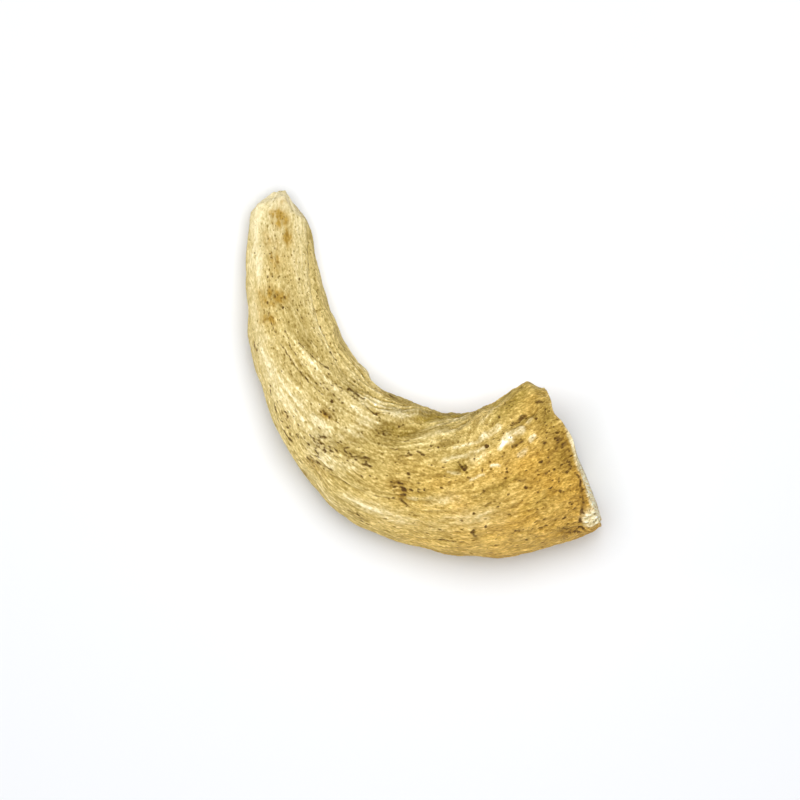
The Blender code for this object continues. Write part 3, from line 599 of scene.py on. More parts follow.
def draw_surface():
    """Heights and masks of the worn surface, as maps."""
    wander = noise(PLACE, 3.4, 11) * 0.55 + noise(PLACE, 1.5, 12) * 0.25
    stray = noise(PLACE, 3.1, 13) * 0.55 + noise(PLACE, 1.4, 14) * 0.25
    ragged = noise(PLACE, 7.0, 15) + 0.6 * noise(PLACE, 3.0, 16)
    broad = even_out(noise(PLACE, 22.0, 17) + 0.5 * noise(PLACE, 11.0, 18))

    fine = drag(noise(PLACE, 0.95, 21), FLOW_GRID, 5.0, 0.7)
    middle = drag(noise(PLACE, 1.9, 22), FLOW_GRID, 10.0, 1.4)
    bands = drag(noise(PLACE, 4.6, 23), FLOW_GRID, 26.0, 2.8)
    grit = even_out(drag(noise(PLACE, 1.25, 24), FLOW_GRID, 1.2, 0.6))
    crumb = even_out(drag(noise(PLACE, 1.9, 25), FLOW_GRID, 1.8, 0.6))
    lumps = even_out(drag(noise(PLACE, 4.0, 26), FLOW_GRID, 3.0, 1.0))

    stripes = drag(noise(PLACE, 2.3, 27), FLOW_GRID, 22.0, 2.2)

    # Where each kind of surface is: porous along the arm, furrowed in the bend, crumbly on the base
    arm = smooth_step((112 - ALONG) / 36.0) * smooth_step((ALONG - 4) / 16.0)
    outer_smooth = smooth_step((-ACROSS / RADIUS - 0.30) / 0.35) * TOP * smooth_step((128 - ALONG) / 20.0)
    porous = arm * (1.0 - 0.75 * outer_smooth)
    fibrous = smooth_step((ALONG - 50) / 50.0) * smooth_step((205 - ALONG) / 60.0) * 0.75 + 0.25
    fibrous = fibrous * (1.0 - 0.55 * outer_smooth)
    base = smooth_step((ALONG - 140) / 50.0)
    crumbly = 0.45 + 0.55 * base
    inner_streaks = smooth_step((ACROSS - 4.0) / 12.0) * smooth_step((ALONG - 95) / 20.0)
    inner_streaks = inner_streaks * smooth_step((232 - ALONG) / 30.0)
    arm_streaks = smooth_step((ALONG - 52) / 30.0) * smooth_step((128 - ALONG) / 20.0)
    streaky = np.maximum(inner_streaks, arm_streaks * (1.0 - 0.6 * outer_smooth)) * TOP + 0.25

    pale = patch_map(PALE_PATCHES, ragged) * (0.85 + 0.2 * middle).clip(0.2, 1.4)
    calm = 1.0 - 0.6 * pale.clip(0, 1)
    height = 0.09 * fine * fibrous + 0.14 * middle * fibrous + 0.18 * bands * (0.3 + 0.7 * fibrous)
    height += 0.12 * crumb * crumbly + 0.16 * lumps * crumbly + 0.14 * stripes * streaky
    height *= 0.5 + 0.5 * calm
    pores = smooth_step((grit - 0.7) / 1.0) * (0.3 + 0.7 * porous + 0.4 * base)
    height -= 0.34 * pores
    tone = 0.075 * fine * fibrous + 0.065 * middle * fibrous + 0.035 * bands * (0.3 + 0.7 * fibrous)
    tone += 0.070 * crumb * crumbly + 0.050 * lumps * crumbly + 0.03 * broad + 0.085 * stripes * streaky
    tone -= 0.20 * pores
    tone *= calm

    # Pits scattered over the whole surface, wider on the underside
    rng = np.random.default_rng(31)
    dirt_and_shadow = np.zeros(ALONG.shape)
    for _ in range(SCATTERED_PITS):
        along = 252 * rng.random() ** 0.72
        turn = rng.uniform(-np.pi, np.pi)
        radius = rng.uniform(0.32, 0.6)
        depth = rng.uniform(0.2, 0.7)
        long = rng.uniform(1.0, 1.9) + 1.6 * rng.random() ** 2 * math.exp(-((along - 130) / 45) ** 2)
        if math.cos(turn) < 0.2:
            radius, depth = radius * 1.5, depth * 1.4
        i = int(along / MAP_STEP)
        part = slice(max(0, i - 16), min(len(ALONG), i + 17))
        lean = FLOW_GRID[i, int((turn / (2 * np.pi) + 0.5) * MAP_TURNS) % MAP_TURNS]
        gone = ALONG[part] + wander[part] - along
        aside = ((TURN[part] - turn + np.pi) % (2 * np.pi) - np.pi) * RADIUS[part] + stray[part]
        aside = aside - gone * lean * RADIUS[part]
        dip = np.exp(-((gone / (radius * long)) ** 2 + (aside / radius) ** 2) ** 1.5)
        height[part] -= depth * dip
        clean = 0.5 + 0.5 * min(1.0, along / 70.0)
        dirt_and_shadow[part] = np.maximum(dirt_and_shadow[part], dip ** 0.4 * (0.12 + 0.85 * depth) * clean)

    # Fields of short dark marks, most of them lying with the fibres
    for field_along, field_across, half_length, half_breadth, count, length, dark in FIELDS:
        for _ in range(count):
            along = field_along + half_length * rng.normal() * 0.6
            across = field_across + half_breadth * rng.normal() * 0.6
            half_width = MARK_HALF_WIDTH * rng.uniform(0.8, 1.5)
            stretch = 1.0 + length * rng.uniform(0.2, 1.6)
            slant = rng.normal() * 0.35
            strength = dark * rng.uniform(0.45, 1.0)
            if not 2.0 < along < 251.0:
                continue
            turn = math.radians(top_turn_deg(along, across))
            i = int(along / MAP_STEP)
            part = slice(max(0, i - 12), min(len(ALONG), i + 13))
            lean = FLOW_GRID[i, int((turn / (2 * np.pi) + 0.5) * MAP_TURNS) % MAP_TURNS]
            gone = ALONG[part] + 0.5 * wander[part] - along
            aside = ((TURN[part] - turn + np.pi) % (2 * np.pi) - np.pi) * RADIUS[part] + 0.5 * stray[part]
            aside = aside - gone * (lean * RADIUS[part] + slant)
            dip = np.exp(-((gone / (half_width * stretch)) ** 2 + (aside / half_width) ** 2) ** 1.5)
            height[part] -= 0.45 * strength * dip
            dirt_and_shadow[part] = np.maximum(dirt_and_shadow[part], strength * dip ** 0.35)

    # Dark crumbs: small ragged blots, thickest on the bend and the base
    blots = noise(PLACE, 1.5, 51) + 0.7 * noise(PLACE, 0.8, 52)
    thick = noise(PLACE, 9.0, 53) * 0.35 + np.interp(ALONG, (0, 60, 120, 252), (-0.25, -0.1, 0.05, 0.1))
    blots = smooth_step((even_out(blots) + thick - 1.45) / 0.9)
    dirt_and_shadow = np.maximum(dirt_and_shadow, 0.62 * blots)
    height -= 0.25 * blots

    warp_along, warp_aside = ALONG + wander, TURN * RADIUS + stray
    for half_width, depth, dark, points in CRACKS:
        gap, _ = line_reach(top_line(points), warp_along, warp_aside, RADIUS)
        broken = (0.8 + 0.45 * ragged).clip(0.1, 1.15)
        height -= depth * np.exp(-(gap / half_width) ** 3) * broken
        dirt_and_shadow = np.maximum(dirt_and_shadow, dark * np.exp(-(gap / (half_width * 1.7)) ** 2) * broken)
    for half_width, size, shade, points in STREAKS:
        gap, _ = line_reach(top_line(points), ALONG + 0.6 * wander, TURN * RADIUS + 0.6 * stray, RADIUS)
        soft = np.exp(-(gap / half_width) ** 2) * (0.8 + 0.3 * broad).clip(0.3, 1.2)
        height += size * soft
        tone += shade * soft
    for along, across, radius, depth, dark in HOLES:
        aside = aside_mm(top_turn_deg(along, across)) + stray
        dip = np.exp(-(((warp_along - along) / (radius * 1.25)) ** 2 + (aside / radius) ** 2) ** 1.5)
        height -= depth * dip
        dirt_and_shadow = np.maximum(dirt_and_shadow, dark * dip ** 0.4)
    for half_width, size, paleness, points in FLAKES:
        gap, _ = line_reach(top_line(points), warp_along, warp_aside, RADIUS)
        plate = np.exp(-(gap / half_width) ** 4) * (0.8 + 0.35 * ragged).clip(0.2, 1.2)
        height += size * plate
        pale = np.maximum(pale, paleness * plate)

    # The knob and the lip of the cut edge
    knob_along, knob_across, knob_length, knob_breadth = KNOB
    knob_turn = top_turn_deg(knob_along, knob_across)
    reach = ((warp_along - knob_along) / knob_length) ** 2 + ((aside_mm(knob_turn) + stray) / knob_breadth) ** 2
    knob = np.exp(-reach ** 3)
    height += 1.3 * knob + 0.4 * knob * crumb.clip(-1.5, 1.5)
    lip_start = np.interp(ACROSS + 2.0 * ragged, LIP_ACROSS, LIP_STARTS)
    lip = smooth_step((warp_along - lip_start) / 0.9) * TOP * smooth_step((ACROSS + 30.0) / 3.0)
    height -= 0.5 * lip
    pale = np.maximum(pale, np.maximum(knob, 0.85 * lip))

    # The tone goes darker where the surface lies lower than what is round it, and paler where it stands higher
    hollow = (soften(height, 10) - height) / 0.30
    tone -= 0.12 * hollow.clip(-1.5, 2.5)
    tone += 0.06 * pale + np.interp(ALONG, TONE_ALONGS, TONES)

    olive_stain_and_shade = patch_map(OLIVE_STAIN_AND_SHADE_PATCHES, ragged)
    # Painted shade: the inner edge of the top side, which faces away from the light, is darkened towards olive
    edge = smooth_step((ACROSS / RADIUS - 0.86) / 0.14) * TOP
    olive_stain_and_shade = np.maximum(olive_stain_and_shade, edge * (0.30 + 0.15 * broad + 0.35 * base))
    olive_stain_and_shade = np.maximum(olive_stain_and_shade, (1.0 - TOP) * (0.35 + 0.25 * broad + 0.15 * bands).clip(0, 1))
    rim_line = smooth_step((-ACROSS / RADIUS - 0.955) / 0.045) * TOP * smooth_step((ALONG - 20.0) / 20.0)
    tone -= 0.22 * rim_line * (0.8 + 0.4 * broad).clip(0.2, 1.4)
    darker = 0.42 * patch_map(DARK_AND_SHADE_PATCHES, ragged) * (0.9 + 0.25 * crumb).clip(0.3, 1.6)
    tone -= 0.10 * olive_stain_and_shade + darker * (1.0 - 0.85 * lip)
    rust = patch_map(RUST_PATCHES, ragged) * (0.85 + 0.3 * crumb).clip(0.2, 1.5) * (1.0 - 0.85 * lip)
    grade = np.interp(ALONG, GRADE_ALONGS, GRADES)
    inner_base = base * smooth_step((ACROSS - 4.0) / 18.0) * TOP
    grade = grade + 0.035 * broad + 0.02 * bands - 0.25 * inner_base
    busy = np.interp(ALONG, GRAIN_ALONGS, GRAIN_SIZES)
    busy = busy * (1.0 - 0.50 * pale.clip(0, 1)) + 0.45 * knob
    return {
        "height": height,
        "tone": tone,
        "grade": grade.clip(0, 1),
        "dirt_and_shadow": dirt_and_shadow.clip(0, 1),
        "olive_stain_and_shade": olive_stain_and_shade.clip(0, 1),
        "rust": rust.clip(0, 1),
        "pale": pale.clip(0, 1),
        "busy": busy / MOST_GRAIN,
        "porous": (0.12 + 0.88 * porous + 0.2 * base * (1 - porous)).clip(0, 1),
        "fibrous": fibrous.clip(0, 1),
    }


# ---------------------------------------------------------------- the mesh
def row_table():
    """Each row's share of the way along the body, and its ring size, from the tip to the base face."""
    rows = [(0.0, ring) for ring in np.linspace(0.0, 1.0, TIP_ROWS, endpoint=False)]
    even = np.linspace(0.0, 1.0, BODY_ROWS)
    rows += [(share, 1.0) for share in np.interp(even, (0.0, 0.05, 0.95, 1.0), (0.0, 0.04, 0.965, 1.0))]
    rows += [(1.0, ring) for ring in np.linspace(1.0, BASE_WALL, WALL_ROWS + 1)[1:]]
    rows += [(1.0, ring) for ring in np.linspace(BASE_WALL - 0.02, 0.0, SPONGE_ROWS)]
    return np.array(rows)


def cell_walls(across, up, spacing, seed):
    """Nearness to the walls between round cells, 1 on a wall, for the spongy bone of the base face."""
    rng = np.random.default_rng(seed)
    count = int((2 * FACE_REACH / spacing) ** 2)
    seeds = rng.uniform(-FACE_REACH, FACE_REACH, size=(count, 2))
    first = np.full(across.shape, 1e9)
    second = np.full(across.shape, 1e9)
    for x, y in seeds:
        gap = np.hypot(across - x, up - y)
        second = np.where(gap < first, first, np.minimum(second, gap))
        first = np.minimum(first, gap)
    return np.exp(-((second - first) / (0.28 * spacing)) ** 2)


def make_core(maps):
    rows = row_table()
    bm = bmesh.new()
    bmesh.ops.create_grid(bm, x_segments=len(rows) - 1, y_segments=AROUND, size=1.0)
    flat = np.array([v.co[:2] for v in bm.verts])
    row = np.rint((flat[:, 0] + 1.0) / 2.0 * (len(rows) - 1)).astype(int)
    lap = np.rint((flat[:, 1] + 1.0) / 2.0 * AROUND) % AROUND / AROUND
    turn = 2 * np.pi * (lap - 0.5) - CROWD_TOP * np.sin(2 * np.pi * (lap - 0.5))
    share, ring = rows[row].T
    on_tip, on_base = (share == 0.0) & (ring < 1.0), (share == 1.0) & (ring < 1.0)

    wall_change = 1.0 + 0.03 * np.sin(3 * turn + 1.0) + 0.022 * np.sin(5 * turn + 2.6)
    first = tip_start(turn, np.where(share > 0.0, 1.0, ring))
    along = first + (CORE_LENGTH - first) * share
    values = {name: pick(grid, along, turn) for name, grid in maps.items()}

    # Broken tip: small lumps and open pores
    place = core_points(along, turn, ring, 0.0, np.zeros(len(ring)))
    crumbs = 0.55 * noise(place, 2.6, 41) + 0.35 * noise(place, 1.3, 42)
    tip_mask = on_tip * smooth_step((1.0 - ring) / 0.12)
    along = along + tip_mask * crumbs

    # Cut base: a firm wall round spongy bone, with cells of two sizes
    face_across = 38.0 * ring * np.sin(turn)
    face_up = 34.0 * ring * np.cos(turn)
    warp = noise(place, 5.0, 43) * 1.3
    walls = cell_walls(face_across + warp, face_up - warp, WIDE_CELLS, 44)
    small_walls = cell_walls(face_across, face_up, SMALL_CELLS, 45)
    sunk = on_base * smooth_step((BASE_WALL * wall_change - ring) / 0.05)
    sponge = SPONGE_DEPTH + 0.9 * np.sin(0.16 * face_across + 0.3) * np.sin(0.14 * face_up + 1.1)
    sponge = sponge + 1.5 * (1 - walls) + 0.7 * (1 - small_walls) - 0.9
    wall_pits = on_base * (1 - sunk) * smooth_step((1.0 - ring) / 0.03)
    recess = sunk * sponge + wall_pits * (0.35 * (1 - small_walls) + 0.25 * noise(place, 1.6, 46))

    height = relief(along, turn) + values["height"] * smooth_step(ring / 0.6)
    rim_wear = smooth_step((along - CORE_LENGTH + 5.0) / 5.0) * (1 - on_tip)
    height = height + rim_wear * (0.8 * noise(place, 5.5, 47) + 0.5 * noise(place, 2.2, 48) - 0.35)
    points = core_points(along, turn, ring, recess, height)

    cut = np.maximum(on_base * 1.0, rim_wear ** 6 * 0.15)
    values["cut"] = np.maximum(cut, tip_mask * 0.5)
    face_dirt = sunk * (1 - walls) * 0.65 + 0.3 * wall_pits * (1 - small_walls)
    tip_dirt = values["dirt_and_shadow"] * (1 - tip_mask) + tip_mask * smooth_step(-crumbs * 2) * 0.3
    values["dirt_and_shadow"] = np.where(on_base, face_dirt, np.where(on_tip, tip_dirt, values["dirt_and_shadow"]))
    for name in ("tone", "olive_stain_and_shade", "rust", "pale"):
        values[name] = values[name] * (1 - 0.85 * on_base)
    # Painted light: the cut face's tone is lifted, as it stands side-on to the lamps
    values["tone"] = values["tone"] + FACE_PAINTED_LIGHT * on_base
    del values["height"]

    layers = {name: bm.verts.layers.float.new(name) for name in values}
    straight = bm.verts.layers.float_vector.new("straight")
    radius = run(HALF_WIDTHS, along)
    unbent = np.stack([along, radius * ring * np.sin(turn), radius * ring * np.cos(turn)], axis=1)
    unbent[:, 0] += np.where(on_base, recess, 0.0)
    for i, vert in enumerate(bm.verts):
        vert.co = points[i] * MM
        vert[straight] = unbent[i]
    for name, layer in layers.items():
        numbers = values[name]
        for i, vert in enumerate(bm.verts):
            vert[layer] = numbers[i]
    bmesh.ops.remove_doubles(bm, verts=bm.verts, dist=WELD_DISTANCE)
    bmesh.ops.recalc_face_normals(bm, faces=bm.faces)
    mesh = bpy.data.meshes.new("bone_core")
    bm.to_mesh(mesh)
    bm.free()
    mesh.shade_smooth()
    core = bpy.data.objects.new("bone_core", mesh)
    bpy.context.scene.collection.objects.link(core)
    return core


# ---------------------------------------------------------------- the bone material
def to_linear(colour):
    """A colour given as 0 to 255 on a screen, as the shader wants it."""
    parts = [c / 255.0 for c in colour]
    return tuple(c / 12.92 if c <= 0.04045 else ((c + 0.055) / 1.055) ** 2.4 for c in parts) + (1.0,)


def add(tree, kind, **settings):
    node = tree.nodes.new(kind)
    for name, value in settings.items():
        setattr(node, name, value)
    return node


def join(tree, source, target):
    tree.links.new(source, target)


def new_group(name, inputs, outputs):
    tree = bpy.data.node_groups.new(name, "ShaderNodeTree")
    for label, kind, value in inputs:
        socket = tree.interface.new_socket(label, in_out="INPUT", socket_type=kind)
        if value is not None:
            socket.default_value = value
    for label, kind in outputs:
        tree.interface.new_socket(label, in_out="OUTPUT", socket_type=kind)
    return tree, tree.nodes.new("NodeGroupInput").outputs, tree.nodes.new("NodeGroupOutput").inputs


def calc(tree, operation, a, b=None, clamp=False):
    """A Math node fed by sockets or plain numbers; gives its output."""
    node = add(tree, "ShaderNodeMath", operation=operation, use_clamp=clamp)
    for slot, value in zip(node.inputs, (a, b)):
        if value is None:
            continue
        if isinstance(value, (int, float)):
            slot.default_value = value
        else:
            join(tree, value, slot)
    return node.outputs[0]


def spread(tree, value, low, high, to_low=0.0, to_high=1.0):
    """A value taken from one range to another, smoothly and no further."""
    node = add(tree, "ShaderNodeMapRange", interpolation_type="SMOOTHSTEP")
    join(tree, value, node.inputs["Value"])
    for label, number in (("From Min", low), ("From Max", high), ("To Min", to_low), ("To Max", to_high)):
        node.inputs[label].default_value = number
    return node.outputs["Result"]


def stretched(tree, vector, factors):
    node = add(tree, "ShaderNodeVectorMath", operation="MULTIPLY")
    join(tree, vector, node.inputs[0])
    node.inputs[1].default_value = factors
    return node.outputs["Vector"]


def pore_group():
    """Open pores: round dark mouths at a spacing, some left out; gives a mask."""
    tree, given, put = new_group(
        "bone_pores",
        (("Place", "NodeSocketVector", None), ("Spacing", "NodeSocketFloat", 1.6),
         ("Mouth", "NodeSocketFloat", 0.3), ("Kept", "NodeSocketFloat", 0.6)),
        (("Mask", "NodeSocketFloat"),),
    )
    cells = add(tree, "ShaderNodeTexVoronoi", voronoi_dimensions="3D", feature="F1")
    join(tree, given["Place"], cells.inputs["Vector"])
    join(tree, calc(tree, "DIVIDE", 1.0, given["Spacing"]), cells.inputs["Scale"])
    colour = add(tree, "ShaderNodeSeparateColor")
    join(tree, cells.outputs["Color"], colour.inputs["Color"])
    size = calc(tree, "MULTIPLY", given["Mouth"], calc(tree, "ADD", colour.outputs["Red"], 0.5))
    edge = calc(tree, "DIVIDE", calc(tree, "SUBTRACT", size, cells.outputs["Distance"]), size)
    mouth = spread(tree, edge, 0.0, 0.6)
    kept = calc(tree, "LESS_THAN", colour.outputs["Green"], given["Kept"])
    join(tree, calc(tree, "MULTIPLY", mouth, kept), put["Mask"])
    return tree


def fibre_group():
    """Fibre grain: fine pale and dark threads drawn out along the core; gives a tone round 0.5."""
    tree, given, put = new_group(
        "bone_fibre",
        (("Place", "NodeSocketVector", None), ("Fineness", "NodeSocketFloat", 0.8),
         ("Length", "NodeSocketFloat", 0.2), ("Detail", "NodeSocketFloat", 3.0)),
        (("Tone", "NodeSocketFloat"),),
    )
    parts = add(tree, "ShaderNodeSeparateXYZ")
    join(tree, given["Place"], parts.inputs[0])
    drawn = add(tree, "ShaderNodeCombineXYZ")
    join(tree, calc(tree, "MULTIPLY", parts.outputs["X"], given["Length"]), drawn.inputs["X"])
    join(tree, parts.outputs["Y"], drawn.inputs["Y"])
    join(tree, parts.outputs["Z"], drawn.inputs["Z"])
    grain = add(tree, "ShaderNodeTexNoise", noise_dimensions="3D")
    join(tree, drawn.outputs[0], grain.inputs["Vector"])
    join(tree, given["Fineness"], grain.inputs["Scale"])
    join(tree, given["Detail"], grain.inputs["Detail"])
    grain.inputs["Roughness"].default_value = 0.6
    join(tree, grain.outputs["Fac"], put["Tone"])
    return tree


def stain_group():
    """Lays a stain over a colour by a mask, with edges broken up by noise."""
    tree, given, put = new_group(
        "bone_stain",
        (("Colour", "NodeSocketColor", (0.8, 0.7, 0.4, 1)), ("Stain", "NodeSocketColor", (0.3, 0.2, 0.1, 1)),
         ("Mask", "NodeSocketFloat", 0.0), ("Place", "NodeSocketVector", None),
         ("Breakup", "NodeSocketFloat", 0.5), ("Fineness", "NodeSocketFloat", 0.5)),
        (("Colour", "NodeSocketColor"),),
    )
    blot = add(tree, "ShaderNodeTexNoise", noise_dimensions="3D")
    join(tree, given["Place"], blot.inputs["Vector"])
    join(tree, given["Fineness"], blot.inputs["Scale"])
    blot.inputs["Detail"].default_value = 4.0
    shifted = calc(tree, "SUBTRACT", blot.outputs["Fac"], 0.5)
    shifted = calc(tree, "MULTIPLY", calc(tree, "MULTIPLY", shifted, given["Breakup"]), 4.0)
    share = calc(tree, "MULTIPLY", given["Mask"], calc(tree, "ADD", shifted, 1.0), clamp=True)
    mix = add(tree, "ShaderNodeMix", data_type="RGBA", blend_type="MIX")
    join(tree, share, mix.inputs["Factor"])
    join(tree, given["Colour"], mix.inputs[6])
    join(tree, given["Stain"], mix.inputs[7])
    join(tree, mix.outputs[2], put["Colour"])
    return tree


def depth_of_tone_group():
    """Darkens or bleaches bone: blue goes fastest and red slowest, so dark bone is browner."""
    tree, given, put = new_group(
        "bone_tone",
        (("Colour", "NodeSocketColor", (0.8, 0.7, 0.4, 1)), ("Tone", "NodeSocketFloat", 0.0)),
        (("Colour", "NodeSocketColor"),),
    )
    parts = add(tree, "ShaderNodeSeparateColor")
    join(tree, given["Colour"], parts.inputs["Color"])
    whole = add(tree, "ShaderNodeCombineColor")
    for label, pace in (("Red", 1.0), ("Green", 1.17), ("Blue", 1.9)):
        factor = calc(tree, "EXPONENT", calc(tree, "MULTIPLY", given["Tone"], pace))
        join(tree, calc(tree, "MULTIPLY", parts.outputs[label], factor, clamp=True), whole.inputs[label])
    join(tree, whole.outputs[0], put["Colour"])
    return tree


GRADE_COLOURS = (
    (0.0, (232, 218, 166)),
    (0.3, (216, 194, 128)),
    (0.5, (210, 186, 114)),
    (0.75, (206, 174, 92)),
    (1.0, (194, 151, 60)),
)
# Olive stain, also used as painted shade along the inner edge and in the hollow of the bend
OLIVE_STAIN_AND_SHADE_COLOUR = (152, 127, 42)
RUST_COLOUR = (184, 148, 62)
PALE_COLOUR = (238, 223, 175)
# Pale cut bone, made paler still as painted light on the cut face, which stands side-on to the lamps
CUT_BONE_AND_LIGHT_COLOUR = (244, 226, 180)
DIRT_AND_SHADOW_COLOUR = (80, 52, 14)


def bone_material():
    material = bpy.data.materials.new("old_bone")
    material.use_nodes = True
    tree = material.node_tree
    surface = tree.nodes["Principled BSDF"]
    surface.inputs["Metallic"].default_value = 0.0
    surface.inputs["Specular IOR Level"].default_value = 0.25
    pores, fibre, stain, tone_group = pore_group(), fibre_group(), stain_group(), depth_of_tone_group()
    mask = {}
    for name in ("tone", "grade", "dirt_and_shadow", "olive_stain_and_shade", "rust", "pale", "busy", "porous", "fibrous", "cut"):
        mask[name] = add(tree, "ShaderNodeAttribute", attribute_name=name).outputs["Fac"]
    place = add(tree, "ShaderNodeAttribute", attribute_name="straight").outputs["Vector"]

    def placed(group, **values):
        node = add(tree, "ShaderNodeGroup", node_tree=group)
        for label, value in values.items():
            if isinstance(value, bpy.types.NodeSocket):
                join(tree, value, node.inputs[label])
            else:
                node.inputs[label].default_value = value
        return node.outputs[0]

    threads = placed(fibre, Place=place, Fineness=1.1, Length=0.2, Detail=2.0)
    specks = placed(fibre, Place=place, Fineness=1.15, Length=0.55, Detail=1.0)
    crumbs = placed(fibre, Place=place, Fineness=0.62, Length=0.55, Detail=2.0)
    mottle = placed(fibre, Place=place, Fineness=0.24, Length=0.65, Detail=3.0)
    mouths = placed(pores, Place=stretched(tree, place, (0.6, 1.0, 1.0)), Spacing=1.25, Mouth=0.28, Kept=0.55)
    pits = placed(pores, Place=stretched(tree, place, (0.7, 1.0, 1.0)), Spacing=3.2, Mouth=0.17, Kept=0.6)

    ramp = add(tree, "ShaderNodeValToRGB")
    stops = ramp.color_ramp.elements
    while len(stops) < len(GRADE_COLOURS):
        stops.new(0.5)
    for stop, (where, colour) in zip(stops, GRADE_COLOURS):
        stop.position = where
        stop.color = to_linear(colour)
    join(tree, mask["grade"], ramp.inputs["Fac"])
    colour = ramp.outputs["Color"]
    # The olive stain also lays painted shade along the inner edge, and the cut colour painted light on the cut face
    for screen_colour, name, breakup, fineness in (
        (CUT_BONE_AND_LIGHT_COLOUR, "cut", 0.3, 0.5), (OLIVE_STAIN_AND_SHADE_COLOUR, "olive_stain_and_shade", 0.5, 0.5), (PALE_COLOUR, "pale", 0.6, 0.5),
        (RUST_COLOUR, "rust", 0.4, 0.7)
    ):
        colour = placed(stain, Colour=colour, Stain=to_linear(screen_colour), Mask=mask[name], Place=place,
                        Breakup=breakup, Fineness=fineness)

    # Everything that darkens or bleaches the bone adds up to one tone
    tone = mask["tone"]
    grained = 0.0
    for source, strength in ((specks, 2.1), (crumbs, 1.1), (mottle, 0.4)):
        part = calc(tree, "MULTIPLY", calc(tree, "SUBTRACT", source, 0.5), strength)
        grained = calc(tree, "ADD", part, grained)
    tone = calc(tree, "ADD", tone, calc(tree, "MULTIPLY", grained, mask["busy"]))
    drawn = calc(tree, "MULTIPLY", calc(tree, "SUBTRACT", threads, 0.5), mask["fibrous"])
    tone = calc(tree, "ADD", tone, calc(tree, "MULTIPLY", drawn, 0.9))
    small = calc(tree, "MULTIPLY", mouths, mask["porous"])
    wide = calc(tree, "MULTIPLY", pits, mask["busy"])
    open_pores = calc(tree, "MAXIMUM", calc(tree, "MULTIPLY", small, 0.8), calc(tree, "MULTIPLY", wide, 1.2))
    # Dirt, and the painted shadow under the chip, have crisp, ragged edges where the grain breaks them up
    breakup = calc(tree, "ADD", calc(tree, "MULTIPLY", specks, 2.2), calc(tree, "MULTIPLY", crumbs, 2.0))
    frayed = calc(tree, "MULTIPLY", mask["dirt_and_shadow"], calc(tree, "SUBTRACT", breakup, 1.1))
    caught = spread(tree, frayed, 0.24, 0.80)
    dark = calc(tree, "ADD", open_pores, calc(tree, "MULTIPLY", caught, 0.35))
    tone = calc(tree, "SUBTRACT", tone, dark)
    colour = placed(tone_group, Colour=colour, Tone=tone)
    colour = placed(stain, Colour=colour, Stain=to_linear(DIRT_AND_SHADOW_COLOUR), Mask=calc(tree, "MULTIPLY", caught, 0.9),
                    Place=place, Breakup=0.1, Fineness=1.0)
    join(tree, colour, surface.inputs["Base Color"])

    rough = spread(tree, crumbs, 0.3, 0.7, 0.68, 0.88)
    join(tree, rough, surface.inputs["Roughness"])

    grain = calc(tree, "ADD", calc(tree, "MULTIPLY", threads, 0.5), calc(tree, "MULTIPLY", specks, 0.7))
    grain = calc(tree, "ADD", grain, calc(tree, "MULTIPLY", crumbs, 0.9))
    grain = calc(tree, "SUBTRACT", grain, calc(tree, "MULTIPLY", open_pores, 1.1))
    bump = add(tree, "ShaderNodeBump")
    bump.inputs["Strength"].default_value = 0.7
    bump.inputs["Distance"].default_value = 0.0004
    join(tree, grain, bump.inputs["Height"])
    join(tree, bump.outputs["Normal"], surface.inputs["Normal"])
    return material


# ---------------------------------------------------------------- floor, lamps and camera
FLOOR_COLOUR = (0.885, 0.90, 0.925, 1.0)
FLOOR_HALF_SIZE = 4.0
BACKDROP_STRENGTH = 0.01


def floor_material():
    material = bpy.data.materials.new("studio_floor")
    material.use_nodes = True
    surface = material.node_tree.nodes["Principled BSDF"]
    surface.inputs["Base Color"].default_value = FLOOR_COLOUR
    surface.inputs["Roughness"].default_value = 0.9
    surface.inputs["Specular IOR Level"].default_value = 0.1
    return material


def make_floor():
    bm = bmesh.new()
    bmesh.ops.create_grid(bm, x_segments=1, y_segments=1, size=FLOOR_HALF_SIZE)
    mesh = bpy.data.meshes.new("floor")
    bm.to_mesh(mesh)
    bm.free()
    mesh.materials.append(floor_material())
    floor = bpy.data.objects.new("floor", mesh)
    bpy.context.scene.collection.objects.link(floor)


# Soft lamps, as (name, place, size, power), all turned to one place
SOFT_LAMPS = (
    ("overhead", (0.04, 0.17, 1.6), 1.5, 34.0),
    ("low_left", (-1.45, 0.1, 0.09), 0.16, 7.2),
    ("low_front", (-0.1, -1.45, 0.09), 0.16, 8.4),
)
LAMP_AIM = (-0.01, -0.01, 0.03)


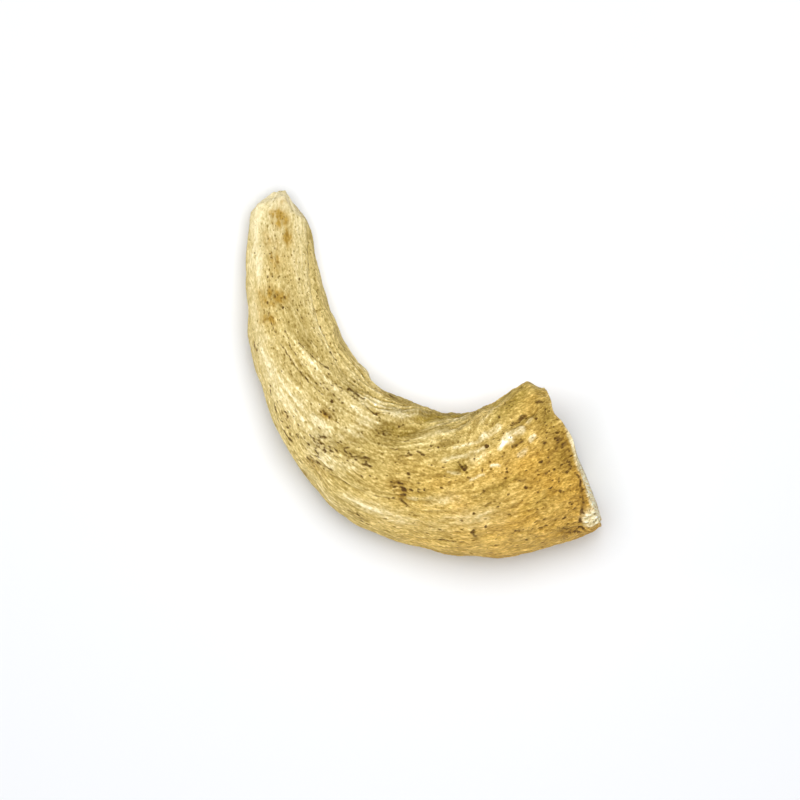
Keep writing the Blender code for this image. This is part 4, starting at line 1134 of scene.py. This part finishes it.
def soft_lamp(name, place, size, power):
    data = bpy.data.lights.new(name, "AREA")
    data.shape = "DISK"
    data.size = size
    data.energy = power
    lamp = bpy.data.objects.new(name, data)
    lamp.location = place
    lamp.rotation_euler = (Vector(LAMP_AIM) - Vector(place)).to_track_quat("-Z", "Y").to_euler()
    lamp.visible_camera = False
    bpy.context.scene.collection.objects.link(lamp)


# A narrow lamp straight above the floor inside the curve, which the bone would otherwise shade
CURVE_MIDDLE = (0.0279, 0.0619)
CURVE_RADIUS = 0.082
CURVE_LAMP_HEIGHT = 1.5
CURVE_LAMP_POWER = 30.0


def inner_curve_lamp():
    data = bpy.data.lights.new("inner_curve_lamp", "SPOT")
    data.spot_size = 2 * math.atan(CURVE_RADIUS / CURVE_LAMP_HEIGHT)
    data.spot_blend = 0.25
    data.shadow_soft_size = 0.02
    data.energy = CURVE_LAMP_POWER
    lamp = bpy.data.objects.new("inner_curve_lamp", data)
    lamp.location = (*CURVE_MIDDLE, CURVE_LAMP_HEIGHT)
    bpy.context.scene.collection.objects.link(lamp)


def light_studio():
    world = bpy.data.worlds.new("studio")
    world.use_nodes = True
    backdrop = world.node_tree.nodes["Background"]
    backdrop.inputs["Color"].default_value = (1.0, 1.0, 1.0, 1.0)
    backdrop.inputs["Strength"].default_value = BACKDROP_STRENGTH
    bpy.context.scene.world = world
    for lamp in SOFT_LAMPS:
        soft_lamp(*lamp)
    inner_curve_lamp()
    bpy.context.scene.view_settings.view_transform = "Standard"


# The photograph is 800 pixels wide at 2 pixels a millimetre, and its middle looks at this place
VIEW_MIDDLE = (-0.0121, -0.0131, 0.033)
VIEW_WIDTH = 0.400
CAMERA_HEIGHT = 5.0
SENSOR_WIDTH = 36.0


def make_camera():
    data = bpy.data.cameras.new("camera")
    data.sensor_width = SENSOR_WIDTH
    data.lens = data.sensor_width * (CAMERA_HEIGHT - VIEW_MIDDLE[2]) / VIEW_WIDTH
    data.clip_end = 50.0
    camera = bpy.data.objects.new("camera", data)
    camera.location = (VIEW_MIDDLE[0], VIEW_MIDDLE[1], CAMERA_HEIGHT)
    bpy.context.scene.collection.objects.link(camera)
    bpy.context.scene.camera = camera


core = make_core(draw_surface())
core.data.materials.append(bone_material())
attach(core, "root")
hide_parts("horn_core")
make_floor()
light_studio()
make_camera()
